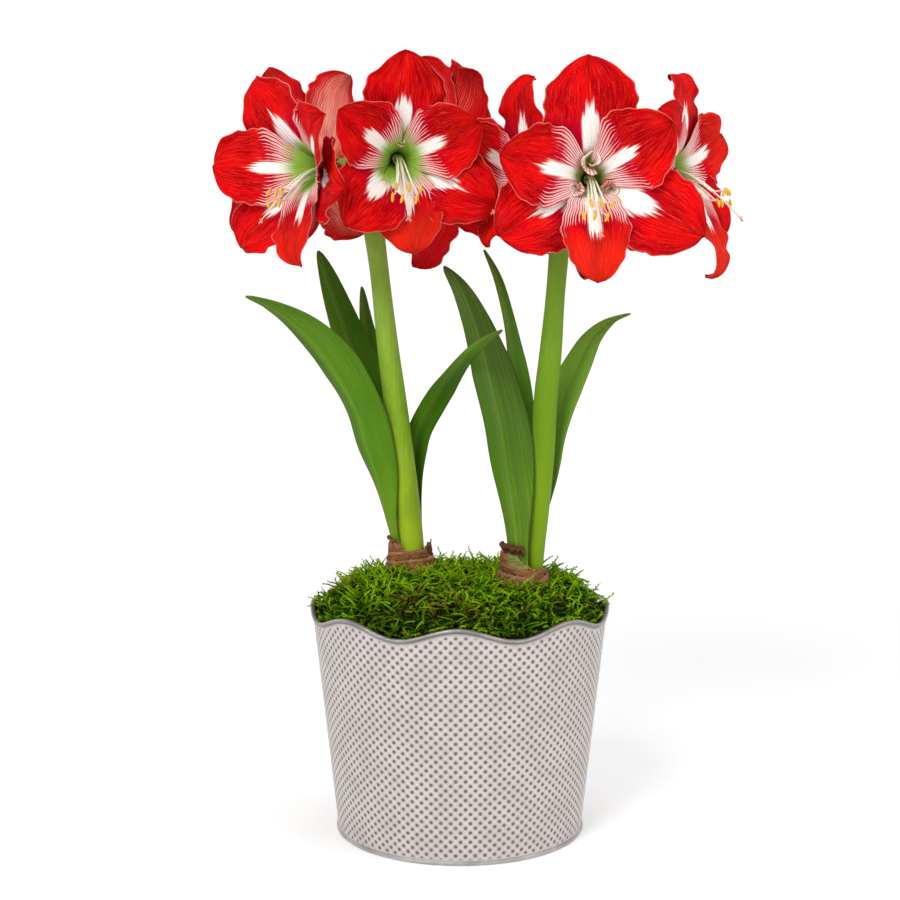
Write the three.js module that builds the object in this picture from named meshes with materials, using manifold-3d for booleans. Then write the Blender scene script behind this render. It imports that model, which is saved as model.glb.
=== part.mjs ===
// Two forced amaryllis bulbs in flower, planted in moss in a round sheet-metal pot.
// Units are millimetres, +Z is up and the origin is the centre of the pot's underside.
// The front of the plant looks along -Y. Compass angles are in degrees, 0 at the front
// and turning towards +X.
import * as THREE from 'three';
import { mergeVertices } from 'three/addons/utils/BufferGeometryUtils.js';
import Module from 'manifold-3d';

const wasm = await Module();
wasm.setup();

// ---------------------------------------------------------------- driving dimensions
const GAP = 0.3;                    // clearance between neighbouring pieces

const POT_BASE_R = 94;              // outer radius at the foot
const POT_RIM_R = 113;              // radius of the rolled rim's centreline
const POT_RIM_Z = 170.4;            // mean height of the rolled rim's centreline
const RIM_WAVE = 4.5;               // the rim rises and falls this much ...
const RIM_LOBES = 8;                // ... this many times round
const RIM_TURN = -1.2;              // compass angle of one crest
const RIM_BEAD_R = 2.1;
const FOOT_BEAD = 1.6;              // the folded foot stands out this much ...
const FOOT_H = 3.4;                 // ... and is this high
const FLOOR_Z = 1.6;                // inside floor of the pot
const POT_WALL = 1.7;
const DENT_DEPTH = 0.8;             // staggered dents of the embossed sheet
const DENT_ROWS = 9;
const POT_SIDES = 44;
const LOOSE_FIT = 0.7;              // room between compost and wall

const SOIL_Z = 150;                 // top of the compost
const MOSS_CREST = 199;             // top of the moss mound
const MOSS_EDGE = 168;              // where the mound meets the wall
const MOSS_R = 107.5;
const MOSS_TUFT = 12;               // height of the tufts that roughen the mound
const MOSS_SPOKES = 29;

const BULB_R = 41;
const BULB_BASE_Z = 86;
const BULB_SIDES = 14;
const CUP_Z = 187;                  // floor of the neck that holds scape and leaves
const TUNIC_THICK = 1.1;            // papery wall of the neck
const LEAF_THICK = 1.5;
const SPATHE_THICK = 0.8;
const TEPAL_THICK = 1.0;
const TUBE_R = 5;                   // perianth tube at the ovary
const PLUG_H = 5.5;                 // solid floor of the perianth tube
const OVARY_LEN = 14;
const FILAMENT_LEN = 48;            // how far filaments and style stand out ...
const FILAMENT_DROP = 29;           // ... and hang down ...
const FILAMENT_UPTURN = 9;          // ... before the anther turns up
const STYLE_LEN = 66;
const STYLE_DROP = 38;

// Each plant: bulb, radius of its neck at the moss, and the neck's torn mouth, which hugs the
// scape and the leaves: [compass angle, radius, height] all round.
const PLANTS = {
  left: { bulb: [-38, 34], neckR: 19.6, scapeTop: [-68, 22, 470], mouth: [[-180, 17.4, 208],
    [-120, 17.6, 212], [-62, 18.2, 218], [-35, 15.4, 212], [0, 12.5, 208], [40, 12.6, 210],
    [85, 15, 216], [120, 16.6, 210], [180, 17.4, 208]] },
  right: { bulb: [47.5, -21], neckR: 18.6, scapeTop: [76, -18, 468], mouth: [[-180, 16.2, 206],
    [-120, 16.4, 212], [-62, 17.2, 219], [-38, 17.2, 219], [10, 13.4, 208], [60, 15.2, 203],
    [90, 17.2, 204], [135, 17.6, 202], [180, 16.2, 206]] },
};

// Scape centrelines from the bulb to the umbel, with the radius at each point.
const SCAPES = {
  left: [[-38, 34, 187.4, 10.2], [-38.4, 34, 213, 10.2], [-44, 32, 271, 9.9], [-50.5, 29, 328, 9.1],
    [-55.4, 27, 366, 8.5], [-62.3, 23, 430, 7.4], [-68, 22, 474, 8.6]],
  right: [[55.7, -21, 187.4, 6], [56.7, -21, 212, 6.6], [60.2, -21, 256, 7.7], [62.6, -20.5, 294, 8.6],
    [64, -20, 331, 8.9], [67.6, -19, 366, 8.4], [71.2, -18, 411, 7.2], [76, -18, 472, 8.2]],
};

// Leaves: half-width at the root and at the broadest, compass angle that the outer face looks to
// at root and tip, the keel's fold and its place across the leaf, and the centreline.
const LEAVES = {
  leaf_left_1: { root: 4.6, half: 16.5, face: [-52, -18], fold: 0.45, keel: -0.5, line: [[-48.8, 28.4, 187.4],
    [-49.7, 28.3, 212], [-54.5, 27, 235], [-60.8, 25, 270], [-67, 23.5, 292], [-75, 21, 321],
    [-90.5, 16, 351], [-106.5, 11.5, 372.5], [-126, 7, 390.5], [-145, 1, 402], [-161.4, -6, 409]] },
  leaf_left_2: { root: 5, half: 17, face: [-117, -160], fold: 0.3, line: [[-48.6, 40, 187.4],
    [-49.4, 42.3, 225], [-53, 46, 265], [-60, 49, 300], [-71, 52, 335], [-85, 55, 368], [-97, 57, 402],
    [-107, 60, 431], [-112.7, 62, 446]] },
  leaf_left_3: { root: 3.8, half: 10, face: [176, 200], fold: 0.3, line: [[-40.4, 46.6, 187.4],
    [-42.3, 49.4, 225], [-49, 60, 263], [-54, 65, 303], [-62, 69, 337], [-69, 71, 361], [-75, 72, 388],
    [-78.7, 73, 418]] },
  leaf_left_4: { root: 3.8, half: 9.6, face: [148, 180], fold: 0.25, line: [[-32.6, 44.9, 187.4],
    [-33, 46.9, 225], [-35.4, 50, 270], [-34, 50, 288], [-31, 47.5, 304], [-21.5, 33, 324],
    [-8.6, 2, 346], [6.8, -32, 366.2], [19, -43, 377], [30.2, -51, 383.6]] },
  leaf_right_1: { root: 7.4, half: 17, face: [-14, 14], fold: 0.45, keel: -0.5, line: [[44, -30, 187.4],
    [43, -31.5, 225], [41.5, -34, 257], [39.5, -34, 280], [35.5, -30, 312], [29, -22, 340],
    [21.5, -14, 366], [11.5, -8, 393], [0, -4, 416], [-12, -2, 431.5]] },
  leaf_right_2: { root: 5, half: 9.5, face: [-170, -130], fold: 0.3, line: [[47, -9.4, 187.4],
    [47, -5.6, 225], [47.2, 2.4, 262], [49, 6.6, 300], [47, 9, 330], [42, 13, 362], [36.5, 16, 394],
    [29, 19, 422], [18.7, 22, 445]] },
  leaf_right_3: { root: 3.6, half: 14.5, face: [132, 150], fold: 0.4, line: [[57.6, -12.2, 187.4],
    [58.8, -11.8, 212], [61.8, -8.2, 235], [65.6, -4.4, 265], [70.5, -1, 299], [80.5, 2, 331], [91, 7, 355],
    [102, 12, 376], [115, 15, 388.5], [131.3, 18, 396]] },
};

// Withered spathe valves that hang out from the top of each scape between the pedicels.
const SPATHES = {
  spathe_left_1: { root: 4, half: 6.5, face: [185, 178], fold: 0.3, line: [[-67.5, 31.4, 464],
    [-67, 44, 474], [-66.5, 57, 470], [-66, 66, 452]] },
  spathe_left_2: { root: 4, half: 7, face: [70, 80], fold: 0.3, line: [[-58, 19.1, 464],
    [-45, 12, 478], [-30, 7, 478], [-20, 4, 462]] },
  spathe_right_1: { root: 4, half: 6.5, face: [52, 66], fold: 0.3, line: [[82.5, -23.6, 464],
    [104, -46, 478], [126, -60, 486], [144, -64, 478], [151, -66, 462]] },
  spathe_right_2: { root: 4, half: 6, face: [-125, -110], fold: 0.3, line: [[67.9, -12.8, 464],
    [54, 1, 484], [40, 7, 500], [25, 9, 508]] },
};

// Blooms: plant, facing (compass), tilt above level, roll about the axis, horizontal reach
// and rise of the perianth base from the top of the scape, the bearing of that reach where it
// isn't the facing, and the growth of the stamens where they are young or long. Then six
// tepals as [angle round the axis, length, half-width, flare in degrees], the outer three first.
const BLOOMS = {
  bloom_left_front: { plant: 'left', facing: 10, tilt: -8, roll: 3, reach: 38.6, rise: 41, bearing: 31,
    tepals: [
      [87, 93, 30, 68], [224, 84, 28, 54], [333, 90, 28, 71],
      [24, 76, 27, 65], [275, 79, 25, 74], [141, 78, 25, 58]] },
  bloom_left_side: { plant: 'left', facing: -49, tilt: -2, roll: 19, reach: 32, rise: 34, tepals: [
    [102, 95, 30, 69], [205, 100, 28, 66], [325, 92, 30, 65],
    [8, 91, 29, 58], [261, 91, 24, 65], [156, 99, 28, 60]] },
  bloom_left_inner: { plant: 'left', facing: 131, tilt: 5, roll: 0, reach: 38, rise: 50, bearing: 126,
    tepals: [
      [70, 104, 30, 76], [188, 92, 28, 74], [294, 112, 27, 86],
      [2, 86, 24, 72], [246, 92, 24, 70], [119, 94, 28, 76]] },
  bloom_left_back: { plant: 'left', facing: -136, tilt: 4, roll: 11, reach: 37, rise: 42, tepals: [
    [106, 102, 29, 74], [210, 92, 28, 76], [308, 104, 28, 74],
    [50, 97, 24, 77], [267, 84, 22, 67], [150, 88, 24, 68]] },
  bloom_right_front: { plant: 'right', facing: 3, tilt: -3, roll: 4, reach: 42, rise: 23, bearing: 20,
    tepals: [
      [90, 97, 33, 76], [207, 91, 31, 76], [328, 102, 30, 73],
      [32, 80, 29, 63], [268, 87, 23, 69], [163, 84, 28, 67]] },
  bloom_right_side: { plant: 'right', facing: 60, tilt: 1, roll: 0, reach: 66, rise: 31, bearing: 84,
    stamens: 0.95, tepals: [
      [97, 86, 25, 86], [225, 76, 20, 60], [314, 80, 26, 66],
      [30, 74, 27, 78], [268, 98, 22, 66], [142, 70, 25, 80]] },
  bloom_right_inner: { plant: 'right', facing: -60, tilt: 3, roll: -6, reach: 10, rise: 24,
    stamens: 0.65, tepals: [
      [82, 88, 27, 74], [208, 84, 24, 70], [330, 60, 20, 48],
      [30, 58, 19, 46], [260, 67, 20, 58], [150, 80, 22, 64]] },
  bloom_right_back: { plant: 'right', facing: 152, tilt: 3, roll: 0, reach: 36, rise: 24, tepals: [
    [90, 94, 29, 76], [210, 92, 28, 76], [330, 92, 28, 76],
    [30, 88, 25, 68], [284, 88, 22, 69], [144, 90, 25, 72]] },
};

// ---------------------------------------------------------------- materials
const finish = (color, roughness, metalness = 0) =>
  new THREE.MeshStandardMaterial({ color, roughness, metalness });
const MATERIALS = {
  pot: finish(0xb9b0aa, 0.45, 0.6),
  soil: finish(0x3a2a1e, 0.95),
  moss: finish(0x4f6b1c, 0.95),
  tunic: finish(0x7a4a35, 0.7),
  green: finish(0x5d8a2c, 0.5),
  leaf: finish(0x3c6b22, 0.5),
  petal: finish(0xc8140f, 0.5),
  stamen: finish(0xe9c9a8, 0.5),
  spathe: finish(0x8a5a3c, 0.8),
};

// ---------------------------------------------------------------- small helpers
const { degToRad: rad, lerp, smoothstep, clamp } = THREE.MathUtils;
const vec = (x, y, z) => new THREE.Vector3(x, y, z);
const ease = (x) => smoothstep(x, 0, 1);
const compass = (degrees) => vec(Math.sin(rad(degrees)), -Math.cos(rad(degrees)), 0);

// A small repeatable random source, so that every build gives the same plant.
function randomSource(seed) {
  let state = seed;
  return () => {
    state = (state * 1664525 + 1013904223) % 4294967296;
    return state / 4294967296;
  };
}

function geometryFrom(points, triangles) {
  const geometry = new THREE.BufferGeometry();
  geometry.setAttribute('position', new THREE.Float32BufferAttribute(points.flatMap((p) => p.toArray()), 3));
  geometry.setIndex(triangles.flat());
  return geometry;
}

// Closed solid through rings of equally many points. Each end is closed by a fan.
function loft(rings) {
  const sides = rings[0].length;
  const points = rings.flat();
  const triangles = [];
  for (let i = 0; i + 1 < rings.length; i++) {
    for (let j = 0; j < sides; j++) {
      const a = i * sides + j;
      const b = i * sides + ((j + 1) % sides);
      triangles.push([a, b, b + sides], [a, b + sides, a + sides]);
    }
  }
  const cap = (ring, start, flip) => {
    const middle = ring.reduce((sum, p) => sum.add(p), vec(0, 0, 0)).divideScalar(sides);
    const centre = points.push(middle) - 1;
    for (let j = 0; j < sides; j++) {
      const a = start + j;
      const b = start + ((j + 1) % sides);
      triangles.push(flip ? [centre, b, a] : [centre, a, b]);
    }
  };
  cap(rings[0], 0, true);
  cap(rings.at(-1), (rings.length - 1) * sides, false);
  return geometryFrom(points, triangles);
}

// Solid turned about the vertical through [radius, height] points.
const lathe = (profile, sides) =>
  new THREE.LatheGeometry(profile.map(([r, z]) => new THREE.Vector2(r, z)), sides).rotateX(Math.PI / 2);

// Tube along a list of points, with a radius at each and a twist-free section.
function tube(path, radii, sides) {
  const rings = [];
  let side = null;
  path.forEach((centre, i) => {
    const along = path[Math.min(i + 1, path.length - 1)].clone().sub(path[Math.max(i - 1, 0)]).normalize();
    side = side ?? (Math.abs(along.z) > 0.9 ? vec(1, 0, 0) : vec(0, 0, 1));
    side = side.clone().addScaledVector(along, -side.dot(along)).normalize();
    const other = along.clone().cross(side);
    rings.push(Array.from({ length: sides }, (_, j) => {
      const angle = (2 * Math.PI * j) / sides;
      return centre.clone()
        .addScaledVector(side, radii[i] * Math.cos(angle))
        .addScaledVector(other, radii[i] * Math.sin(angle));
    }));
  });
  return loft(rings);
}

// Thin blade over a surface point(u, v) with u from 0 to 1 and v from -1 to 1. Both faces
// are split along the same diagonals, so the blade keeps its thickness.
function blade(point, stations, across, thickness) {
  const step = 0.01;
  const faces = [[], []];
  for (const u of stations) {
    for (let j = 0; j <= across; j++) {
      const v = -1 + (2 * j) / across;
      const du = point(Math.min(u + step, 1), v).sub(point(Math.max(u - step, 0), v));
      const dv = point(u, Math.min(v + step, 1)).sub(point(u, Math.max(v - step, -1)));
      const normal = du.cross(dv).normalize();
      faces[0].push(point(u, v).addScaledVector(normal, thickness / 2));
      faces[1].push(point(u, v).addScaledVector(normal, -thickness / 2));
    }
  }
  const row = across + 1;
  const under = faces[0].length;
  const triangles = [];
  const quad = (a, b, c, d) => triangles.push([a, b, c], [a, c, d]);
  for (let i = 0; i + 1 < stations.length; i++) {
    for (let j = 0; j < across; j++) {
      const [a, b, c, d] = [i * row + j, (i + 1) * row + j, (i + 1) * row + j + 1, i * row + j + 1];
      quad(a, b, c, d);
      triangles.push([a + under, c + under, b + under], [a + under, d + under, c + under]);
    }
    quad(i * row + under, (i + 1) * row + under, (i + 1) * row, i * row);
    const edge = i * row + across;
    quad(edge, edge + row, edge + row + under, edge + under);
  }
  const last = (stations.length - 1) * row;
  for (let j = 0; j < across; j++) {
    quad(j, j + 1, j + 1 + under, j + under);
    quad(last + j + under, last + j + 1 + under, last + j + 1, last + j);
  }
  return geometryFrom([...faces[0], ...faces[1]], triangles);
}

function toManifold(geometry) {
  const bare = geometry.clone();
  bare.deleteAttribute('normal');
  bare.deleteAttribute('uv');
  const merged = mergeVertices(bare, 1e-4);
  return new wasm.Manifold(new wasm.Mesh({
    numProp: 3,
    vertProperties: merged.attributes.position.array,
    triVerts: Uint32Array.from(merged.index.array),
  }));
}

function toGeometry(solid) {
  const { vertProperties, triVerts } = solid.getMesh();
  const geometry = new THREE.BufferGeometry();
  geometry.setAttribute('position', new THREE.BufferAttribute(vertProperties, 3));
  geometry.setIndex(new THREE.BufferAttribute(triVerts, 1));
  return geometry;
}

const fuse = (geometries) =>
  toGeometry(geometries.map(toManifold).reduce((sum, solid) => sum.add(solid)).simplify(0.05));

const cut = (geometry, tools) =>
  toGeometry(tools.map(toManifold).reduce((rest, tool) => rest.subtract(tool), toManifold(geometry)));

// ---------------------------------------------------------------- pot, soil and moss
const potRadius = (z) => lerp(POT_BASE_R, POT_RIM_R, z / POT_RIM_Z);
const rimHeight = (angle) => POT_RIM_Z + RIM_WAVE * Math.cos(RIM_LOBES * (angle - rad(RIM_TURN)));
const around = (angle, radius, z) => vec(radius * Math.sin(angle), -radius * Math.cos(angle), z);

function potGeometry() {
  // The section runs out over the foot, up the embossed wall, round the rolled rim and
  // down the inside. The dents are spaced evenly between the foot and the local rim height.
  const section = [
    () => [POT_BASE_R - 1, 0],
    () => [POT_BASE_R + FOOT_BEAD, 0.27 * FOOT_H],
    () => [POT_BASE_R + FOOT_BEAD, 0.68 * FOOT_H],
    () => [potRadius(FOOT_H), FOOT_H],
  ];
  for (let row = 1; row < DENT_ROWS; row++) {
    section.push((angle, j) => {
      const z = lerp(FOOT_H, rimHeight(angle) - RIM_BEAD_R, row / DENT_ROWS);
      return [potRadius(z) - ((row + j) % 2 ? DENT_DEPTH : 0), z];
    });
  }
  for (let k = 0; k < 5; k++) {
    const turn = rad(-60 + 60 * k);
    section.push((angle) => [
      POT_RIM_R + RIM_BEAD_R * Math.cos(turn),
      rimHeight(angle) + RIM_BEAD_R * Math.sin(turn),
    ]);
  }
  section.push((angle) => [POT_RIM_R - POT_WALL, rimHeight(angle) - RIM_BEAD_R]);
  section.push(() => [POT_BASE_R - POT_WALL, FLOOR_Z]);
  return loft(section.map((place) => Array.from({ length: POT_SIDES }, (_, j) => {
    const angle = (2 * Math.PI * j) / POT_SIDES;
    const [radius, z] = place(angle, j);
    return around(angle, radius, z);
  })));
}

// Outline of a bulb as [radius, height]: basal plate, round body, then the long neck.
const bulbOutline = (neckR) => [[14, BULB_BASE_Z], [30, 92], [BULB_R - 3, 104], [BULB_R, 122],
  [BULB_R - 4, 142], [neckR + 10, 160], [neckR + 2.5, 174], [neckR, 186]];

// Radius and height of a neck's torn mouth at a compass angle in radians.
function mouthAt(mouth, angle) {
  const turn = (((angle * 180) / Math.PI + 540) % 360) - 180;
  const next = mouth.findIndex(([bearing]) => bearing >= turn && bearing > -180);
  const [a, b] = [mouth[next - 1], mouth[next]];
  const share = ease((turn - a[0]) / (b[0] - a[0]));
  return [lerp(a[1], b[1], share), lerp(a[2], b[2], share)];
}

function bulbGeometry({ bulb: [x, y], neckR, mouth }) {
  const ring = (place) => Array.from({ length: BULB_SIDES }, (_, j) => {
    const angle = (2 * Math.PI * j) / BULB_SIDES;
    const [radius, z] = place(angle);
    return around(angle, radius, z).add(vec(x, y, 0));
  });
  const rim = (inset) => ring((angle) => {
    const [radius, z] = mouthAt(mouth, angle);
    return [radius - inset, z];
  });
  return loft([
    ...bulbOutline(neckR).map((place) => ring(() => place)),
    rim(0), rim(TUNIC_THICK), ring(() => [neckR - 1.9, CUP_Z]),
  ]);
}

function soilGeometry() {
  const inside = (z) => potRadius(z) - POT_WALL - LOOSE_FIT;
  const bottom = FLOOR_Z + GAP;
  const plug = lathe([[0, bottom], [inside(FLOOR_Z), bottom], [inside(SOIL_Z), SOIL_Z], [0, SOIL_Z]], 40);
  const hole = BULB_R + 0.5;
  const holes = Object.values(PLANTS).map(({ bulb: [x, y] }) => lathe([
    [0, BULB_BASE_Z - GAP], [hole, BULB_BASE_Z - GAP], [hole, SOIL_Z + 5], [0, SOIL_Z + 5],
  ], 24).translate(x, y, 0));
  return cut(plug, holes);
}

// A low mound with tufts, closed underneath, with a hole for the neck of each bulb.
function mossGeometry() {
  const random = randomSource(17);
  const radii = [0.6, 18, 36, 52, 66, 78, 88, 96.5, 103, MOSS_R];
  const wall = potRadius(MOSS_EDGE) - POT_WALL - 1.2;
  const ring = (radius, shift, height) => Array.from({ length: MOSS_SPOKES }, (_, j) =>
    around((2 * Math.PI * (j + shift)) / MOSS_SPOKES, radius, height()));
  const mound = radii.map((radius, i) => {
    const share = radius / MOSS_R;
    const crest = lerp(MOSS_CREST, MOSS_EDGE, share ** 9) - 4 * share ** 2;
    const tuft = i === 0 || radius === MOSS_R ? 0 : MOSS_TUFT;
    return ring(Math.min(radius, wall), (i % 2) / 2, () => crest + tuft * (random() - 0.5));
  });
  const foot = ring(MOSS_R - 1, 0.5, () => SOIL_Z + GAP);
  const holes = Object.values(PLANTS).map(({ bulb: [x, y], neckR }) => {
    const room = 1.1;
    const body = bulbOutline(neckR).map(([radius, z]) => [radius + room, z]);
    const above = 2 * MOSS_CREST;
    return lathe([[0, BULB_BASE_Z], ...body, [neckR + room, above], [0, above]], 24).translate(x, y, 0);
  });
  return cut(loft([foot, ...mound.reverse()]), holes);
}

// ---------------------------------------------------------------- leaves
// Strap-shaped blade along a spine, folded down on both sides of its keel and waved.
function strapGeometry({ root, half, face, fold, keel = 0, line }, stations, across, thickness) {
  const spine = new THREE.CatmullRomCurve3(line.map((p) => vec(...p)), false, 'centripetal');
  const surface = (u, v) => {
    const along = spine.getTangentAt(clamp(u, 0.001, 0.999));
    const look = rad(lerp(...face, ease(u)));
    const width = vec(Math.cos(look), Math.sin(look), 0);
    width.addScaledVector(along, -width.dot(along)).normalize();
    const outward = width.clone().cross(along);
    const taper = Math.min(1, 1.9 * (1 - u) ** 0.64 + 0.04);
    const reach = lerp(root, half, ease((u - 0.1) / 0.35)) * taper;
    const waviness = 0.8 * Math.sin(17 * u + 2 * v);
    const bent = fold * reach * (1 - 0.3 * u) * (Math.abs(v - keel) - Math.abs(keel));
    const dip = ease(u / 0.25) * (bent + Math.abs(v) * waviness);
    return spine.getPointAt(u).addScaledVector(width, v * reach).addScaledVector(outward, -dip);
  };
  return blade(surface, stations, across, thickness);
}

// Stations along the blade, cells across it and thickness.
const LEAF_GRID = [[0, 0.12, 0.24, 0.36, 0.48, 0.6, 0.71, 0.82, 0.92, 1], 4, LEAF_THICK];
const SPATHE_GRID = [[0, 0.25, 0.5, 0.75, 1], 2, SPATHE_THICK];

// ---------------------------------------------------------------- blooms
// Frame of a bloom: x to its side, y up its face and z out along its axis.
function bloomFrame({ plant, facing, tilt, roll, reach, rise, bearing = facing }, rolled = true) {
  const axis = compass(facing).multiplyScalar(Math.cos(rad(tilt)));
  axis.z = Math.sin(rad(tilt));
  const up = vec(0, 0, 1).addScaledVector(axis, -axis.z).normalize();
  if (rolled) up.applyAxisAngle(axis, rad(roll));
  const origin = vec(...PLANTS[plant].scapeTop).addScaledVector(compass(bearing), reach);
  origin.z += rise;
  return new THREE.Matrix4().makeBasis(up.clone().cross(axis), up, axis).setPosition(origin);
}

// A tepal leaves the tube nearly along the axis and flares to a spreading, pointed blade.
// The limb is waved along its edges, and the inner whorl is raised above the outer one.
function tepalSurface([angle, length, half, flare], inner, phase) {
  const steps = 80;
  const spine = [{ r: TUBE_R - (inner ? 1.6 : 0), a: 0, lean: rad(14) }];
  for (let i = 1; i <= steps; i++) {
    const u = i / steps;
    const lean = rad(lerp(14, flare, ease(u / 0.55)) + (inner ? 14 : 18) * ease((u - 0.7) / 0.3) ** 1.3);
    const { r, a } = spine[i - 1];
    spine.push({ r: r + (length / steps) * Math.sin(lean), a: a + (length / steps) * Math.cos(lean), lean });
  }
  const at = (u) => {
    const i = Math.min(Math.floor(u * steps), steps - 1);
    const t = u * steps - i;
    return ['r', 'a', 'lean'].map((key) => lerp(spine[i][key], spine[i + 1][key], t));
  };
  const radial = vec(Math.cos(rad(angle)), Math.sin(rad(angle)), 0);
  const sideways = vec(-radial.y, radial.x, 0);
  return (u, v) => {
    const [r, a, lean] = at(u);
    const outline = (Math.max(u, 1e-6) / 0.6) ** 1.25 * ((1 - u) / 0.4) ** (inner ? 0.75 : 0.8);
    const claw = 3.4 * (1 - u) ** 2 + 1;
    const x = v * Math.min(half * outline + claw, r);
    const opened = (inner ? 0.2 : 0.6) * ease((u - 0.12) / 0.3);
    const curve = Math.max(Math.cos(lean) * (1 - opened), 0.02) / r;
    const turn = clamp(curve * x, -1.5, 1.5);
    const limb = ease((u - 0.3) / 0.4);
    const ripple = Math.sin(2 * Math.PI * (2.6 * u + phase + (v > 0 ? 0.37 : 0)));
    const wave = 2.4 * limb * Math.abs(v) ** 2.2 * Math.sqrt(1.15 - u) * ripple;
    const raised = inner ? 3.2 * ease((u - 0.06) / 0.3) : 0;
    const lift = (1 - Math.cos(turn)) / curve + wave + raised;
    return radial.clone().multiplyScalar(r - lift * Math.cos(lean))
      .addScaledVector(sideways, Math.sin(turn) / curve)
      .add(vec(0, 0, a + lift * Math.sin(lean)));
  };
}

// Six waved tepals in two whorls that grow together round the solid floor of the tube.
function bloomGeometry({ tepals }, seed) {
  const random = randomSource(seed);
  const plug = lathe([[0, 0], [TUBE_R, 0], [TUBE_R + 1.3, PLUG_H], [0, PLUG_H]], 6);
  const stations = [0, 0.16, 0.36, 0.58, 0.8, 1];
  return fuse([plug, ...tepals.map((tepal, i) =>
    blade(tepalSurface(tepal, i > 2, random()), stations, 4, TEPAL_THICK))]);
}

// Six declining filaments in two ranks, upturned at their anthers, and the longer style, on
// one small base.
function stamenGeometry({ stamens: grown = 1 }, seed) {
  const random = randomSource(seed);
  const base = PLUG_H + GAP;
  const foot = lathe([[0, base], [3.4, base], [3.4, base + 3], [0, base + 3]], 6);
  const thread = (spread, start, reach, drop, upturn, radii) => {
    const path = [0, 0.42, 0.78, 1].map((t) => vec(
      spread * (2 + 8 * t * t),
      start * (1 - t) - drop * (1 - Math.cos((t * Math.PI) / 2)) ** 0.9 + upturn * ease((t - 0.72) / 0.28),
      base + 2 + reach * t ** 0.8,
    ));
    return tube(path, radii, 3);
  };
  const filaments = Array.from({ length: 6 }, (_, k) => {
    const upper = k % 2 === 1;
    return thread(
      (grown * (k - 2.5)) / 2.5,
      upper ? 2 : -2,
      grown * (FILAMENT_LEN + 5 * random()),
      grown * (FILAMENT_DROP + (upper ? -3 : 5) + 2 * random()),
      grown * FILAMENT_UPTURN,
      [1, 0.9, 1.1, 1.9],
    );
  });
  const style = thread(0, -1.2, grown * STYLE_LEN, grown * STYLE_DROP, 0, [1.1, 1, 0.9, 1.8]);
  return fuse([foot, ...filaments, style]);
}

// ---------------------------------------------------------------- scapes and spathes
// Flower stem with one curved pedicel and ovary under each of its blooms.
function scapeGeometry(plant) {
  const line = SCAPES[plant];
  const stem = tube(line.map(([x, y, z]) => vec(x, y, z)), line.map((p) => p[3]), 12);
  const top = vec(...PLANTS[plant].scapeTop);
  const blooms = Object.values(BLOOMS).filter((bloom) => bloom.plant === plant);
  const pedicels = blooms.map((bloom) => {
    const frame = bloomFrame(bloom);
    const behind = (distance) => vec(0, 0, -distance).applyMatrix4(frame);
    const beside = (distance, height) =>
      top.clone().addScaledVector(compass(bloom.bearing ?? bloom.facing), distance).add(vec(0, 0, height));
    const bend = new THREE.CubicBezierCurve3(
      beside(2, 0),
      beside(6, 14),
      behind(OVARY_LEN + 12),
      behind(OVARY_LEN),
    );
    const path = [0, 0.3, 0.6, 1].map((t) => bend.getPoint(t));
    return tube([...path, behind(OVARY_LEN * 0.45), behind(GAP)], [4.2, 3.8, 3.6, 4.2, 6, 5], 6);
  });
  return fuse([stem, ...pedicels]);
}

// ---------------------------------------------------------------- assembly
const plantGroup = new THREE.Group();

function addMesh(name, geometry, material, matrix) {
  const mesh = new THREE.Mesh(geometry, material);
  mesh.name = name;
  if (matrix) mesh.applyMatrix4(matrix);
  plantGroup.add(mesh);
}

addMesh('pot', potGeometry(), MATERIALS.pot);
addMesh('soil', soilGeometry(), MATERIALS.soil);
addMesh('moss', mossGeometry(), MATERIALS.moss);
addMesh('bulb_left', bulbGeometry(PLANTS.left), MATERIALS.tunic);
addMesh('bulb_right', bulbGeometry(PLANTS.right), MATERIALS.tunic);
addMesh('scape_left', scapeGeometry('left'), MATERIALS.green);
addMesh('scape_right', scapeGeometry('right'), MATERIALS.green);
Object.entries(LEAVES).forEach(([name, leaf]) =>
  addMesh(name, strapGeometry(leaf, ...LEAF_GRID), MATERIALS.leaf));
Object.entries(SPATHES).forEach(([name, spathe]) =>
  addMesh(name, strapGeometry(spathe, ...SPATHE_GRID), MATERIALS.spathe));
Object.entries(BLOOMS).forEach(([name, bloom], i) => {
  const stamens = name.replace('bloom', 'stamens');
  addMesh(name, bloomGeometry(bloom, 101 + i), MATERIALS.petal, bloomFrame(bloom));
  addMesh(stamens, stamenGeometry(bloom, 31 + i), MATERIALS.stamen, bloomFrame(bloom, false));
});

export default plantGroup;
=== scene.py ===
"""Two potted amaryllis in flower: fine petals, leaves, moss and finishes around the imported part."""
import math
from collections import namedtuple

import bpy
import numpy as np
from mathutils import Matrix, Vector


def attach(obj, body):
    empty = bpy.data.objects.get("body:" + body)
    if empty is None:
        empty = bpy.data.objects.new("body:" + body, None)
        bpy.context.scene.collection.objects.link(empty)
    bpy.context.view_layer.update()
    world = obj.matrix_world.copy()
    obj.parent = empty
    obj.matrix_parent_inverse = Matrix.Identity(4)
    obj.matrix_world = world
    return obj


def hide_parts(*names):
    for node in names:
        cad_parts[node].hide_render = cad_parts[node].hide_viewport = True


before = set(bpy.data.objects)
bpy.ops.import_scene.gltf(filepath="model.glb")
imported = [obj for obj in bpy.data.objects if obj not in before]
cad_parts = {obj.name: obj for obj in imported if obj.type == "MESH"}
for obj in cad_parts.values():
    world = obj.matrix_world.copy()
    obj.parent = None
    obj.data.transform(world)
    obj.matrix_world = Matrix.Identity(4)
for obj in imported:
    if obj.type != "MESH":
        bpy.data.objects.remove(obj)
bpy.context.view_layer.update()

MM = 0.001                     # the shapes below are worked out in millimetres

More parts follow.
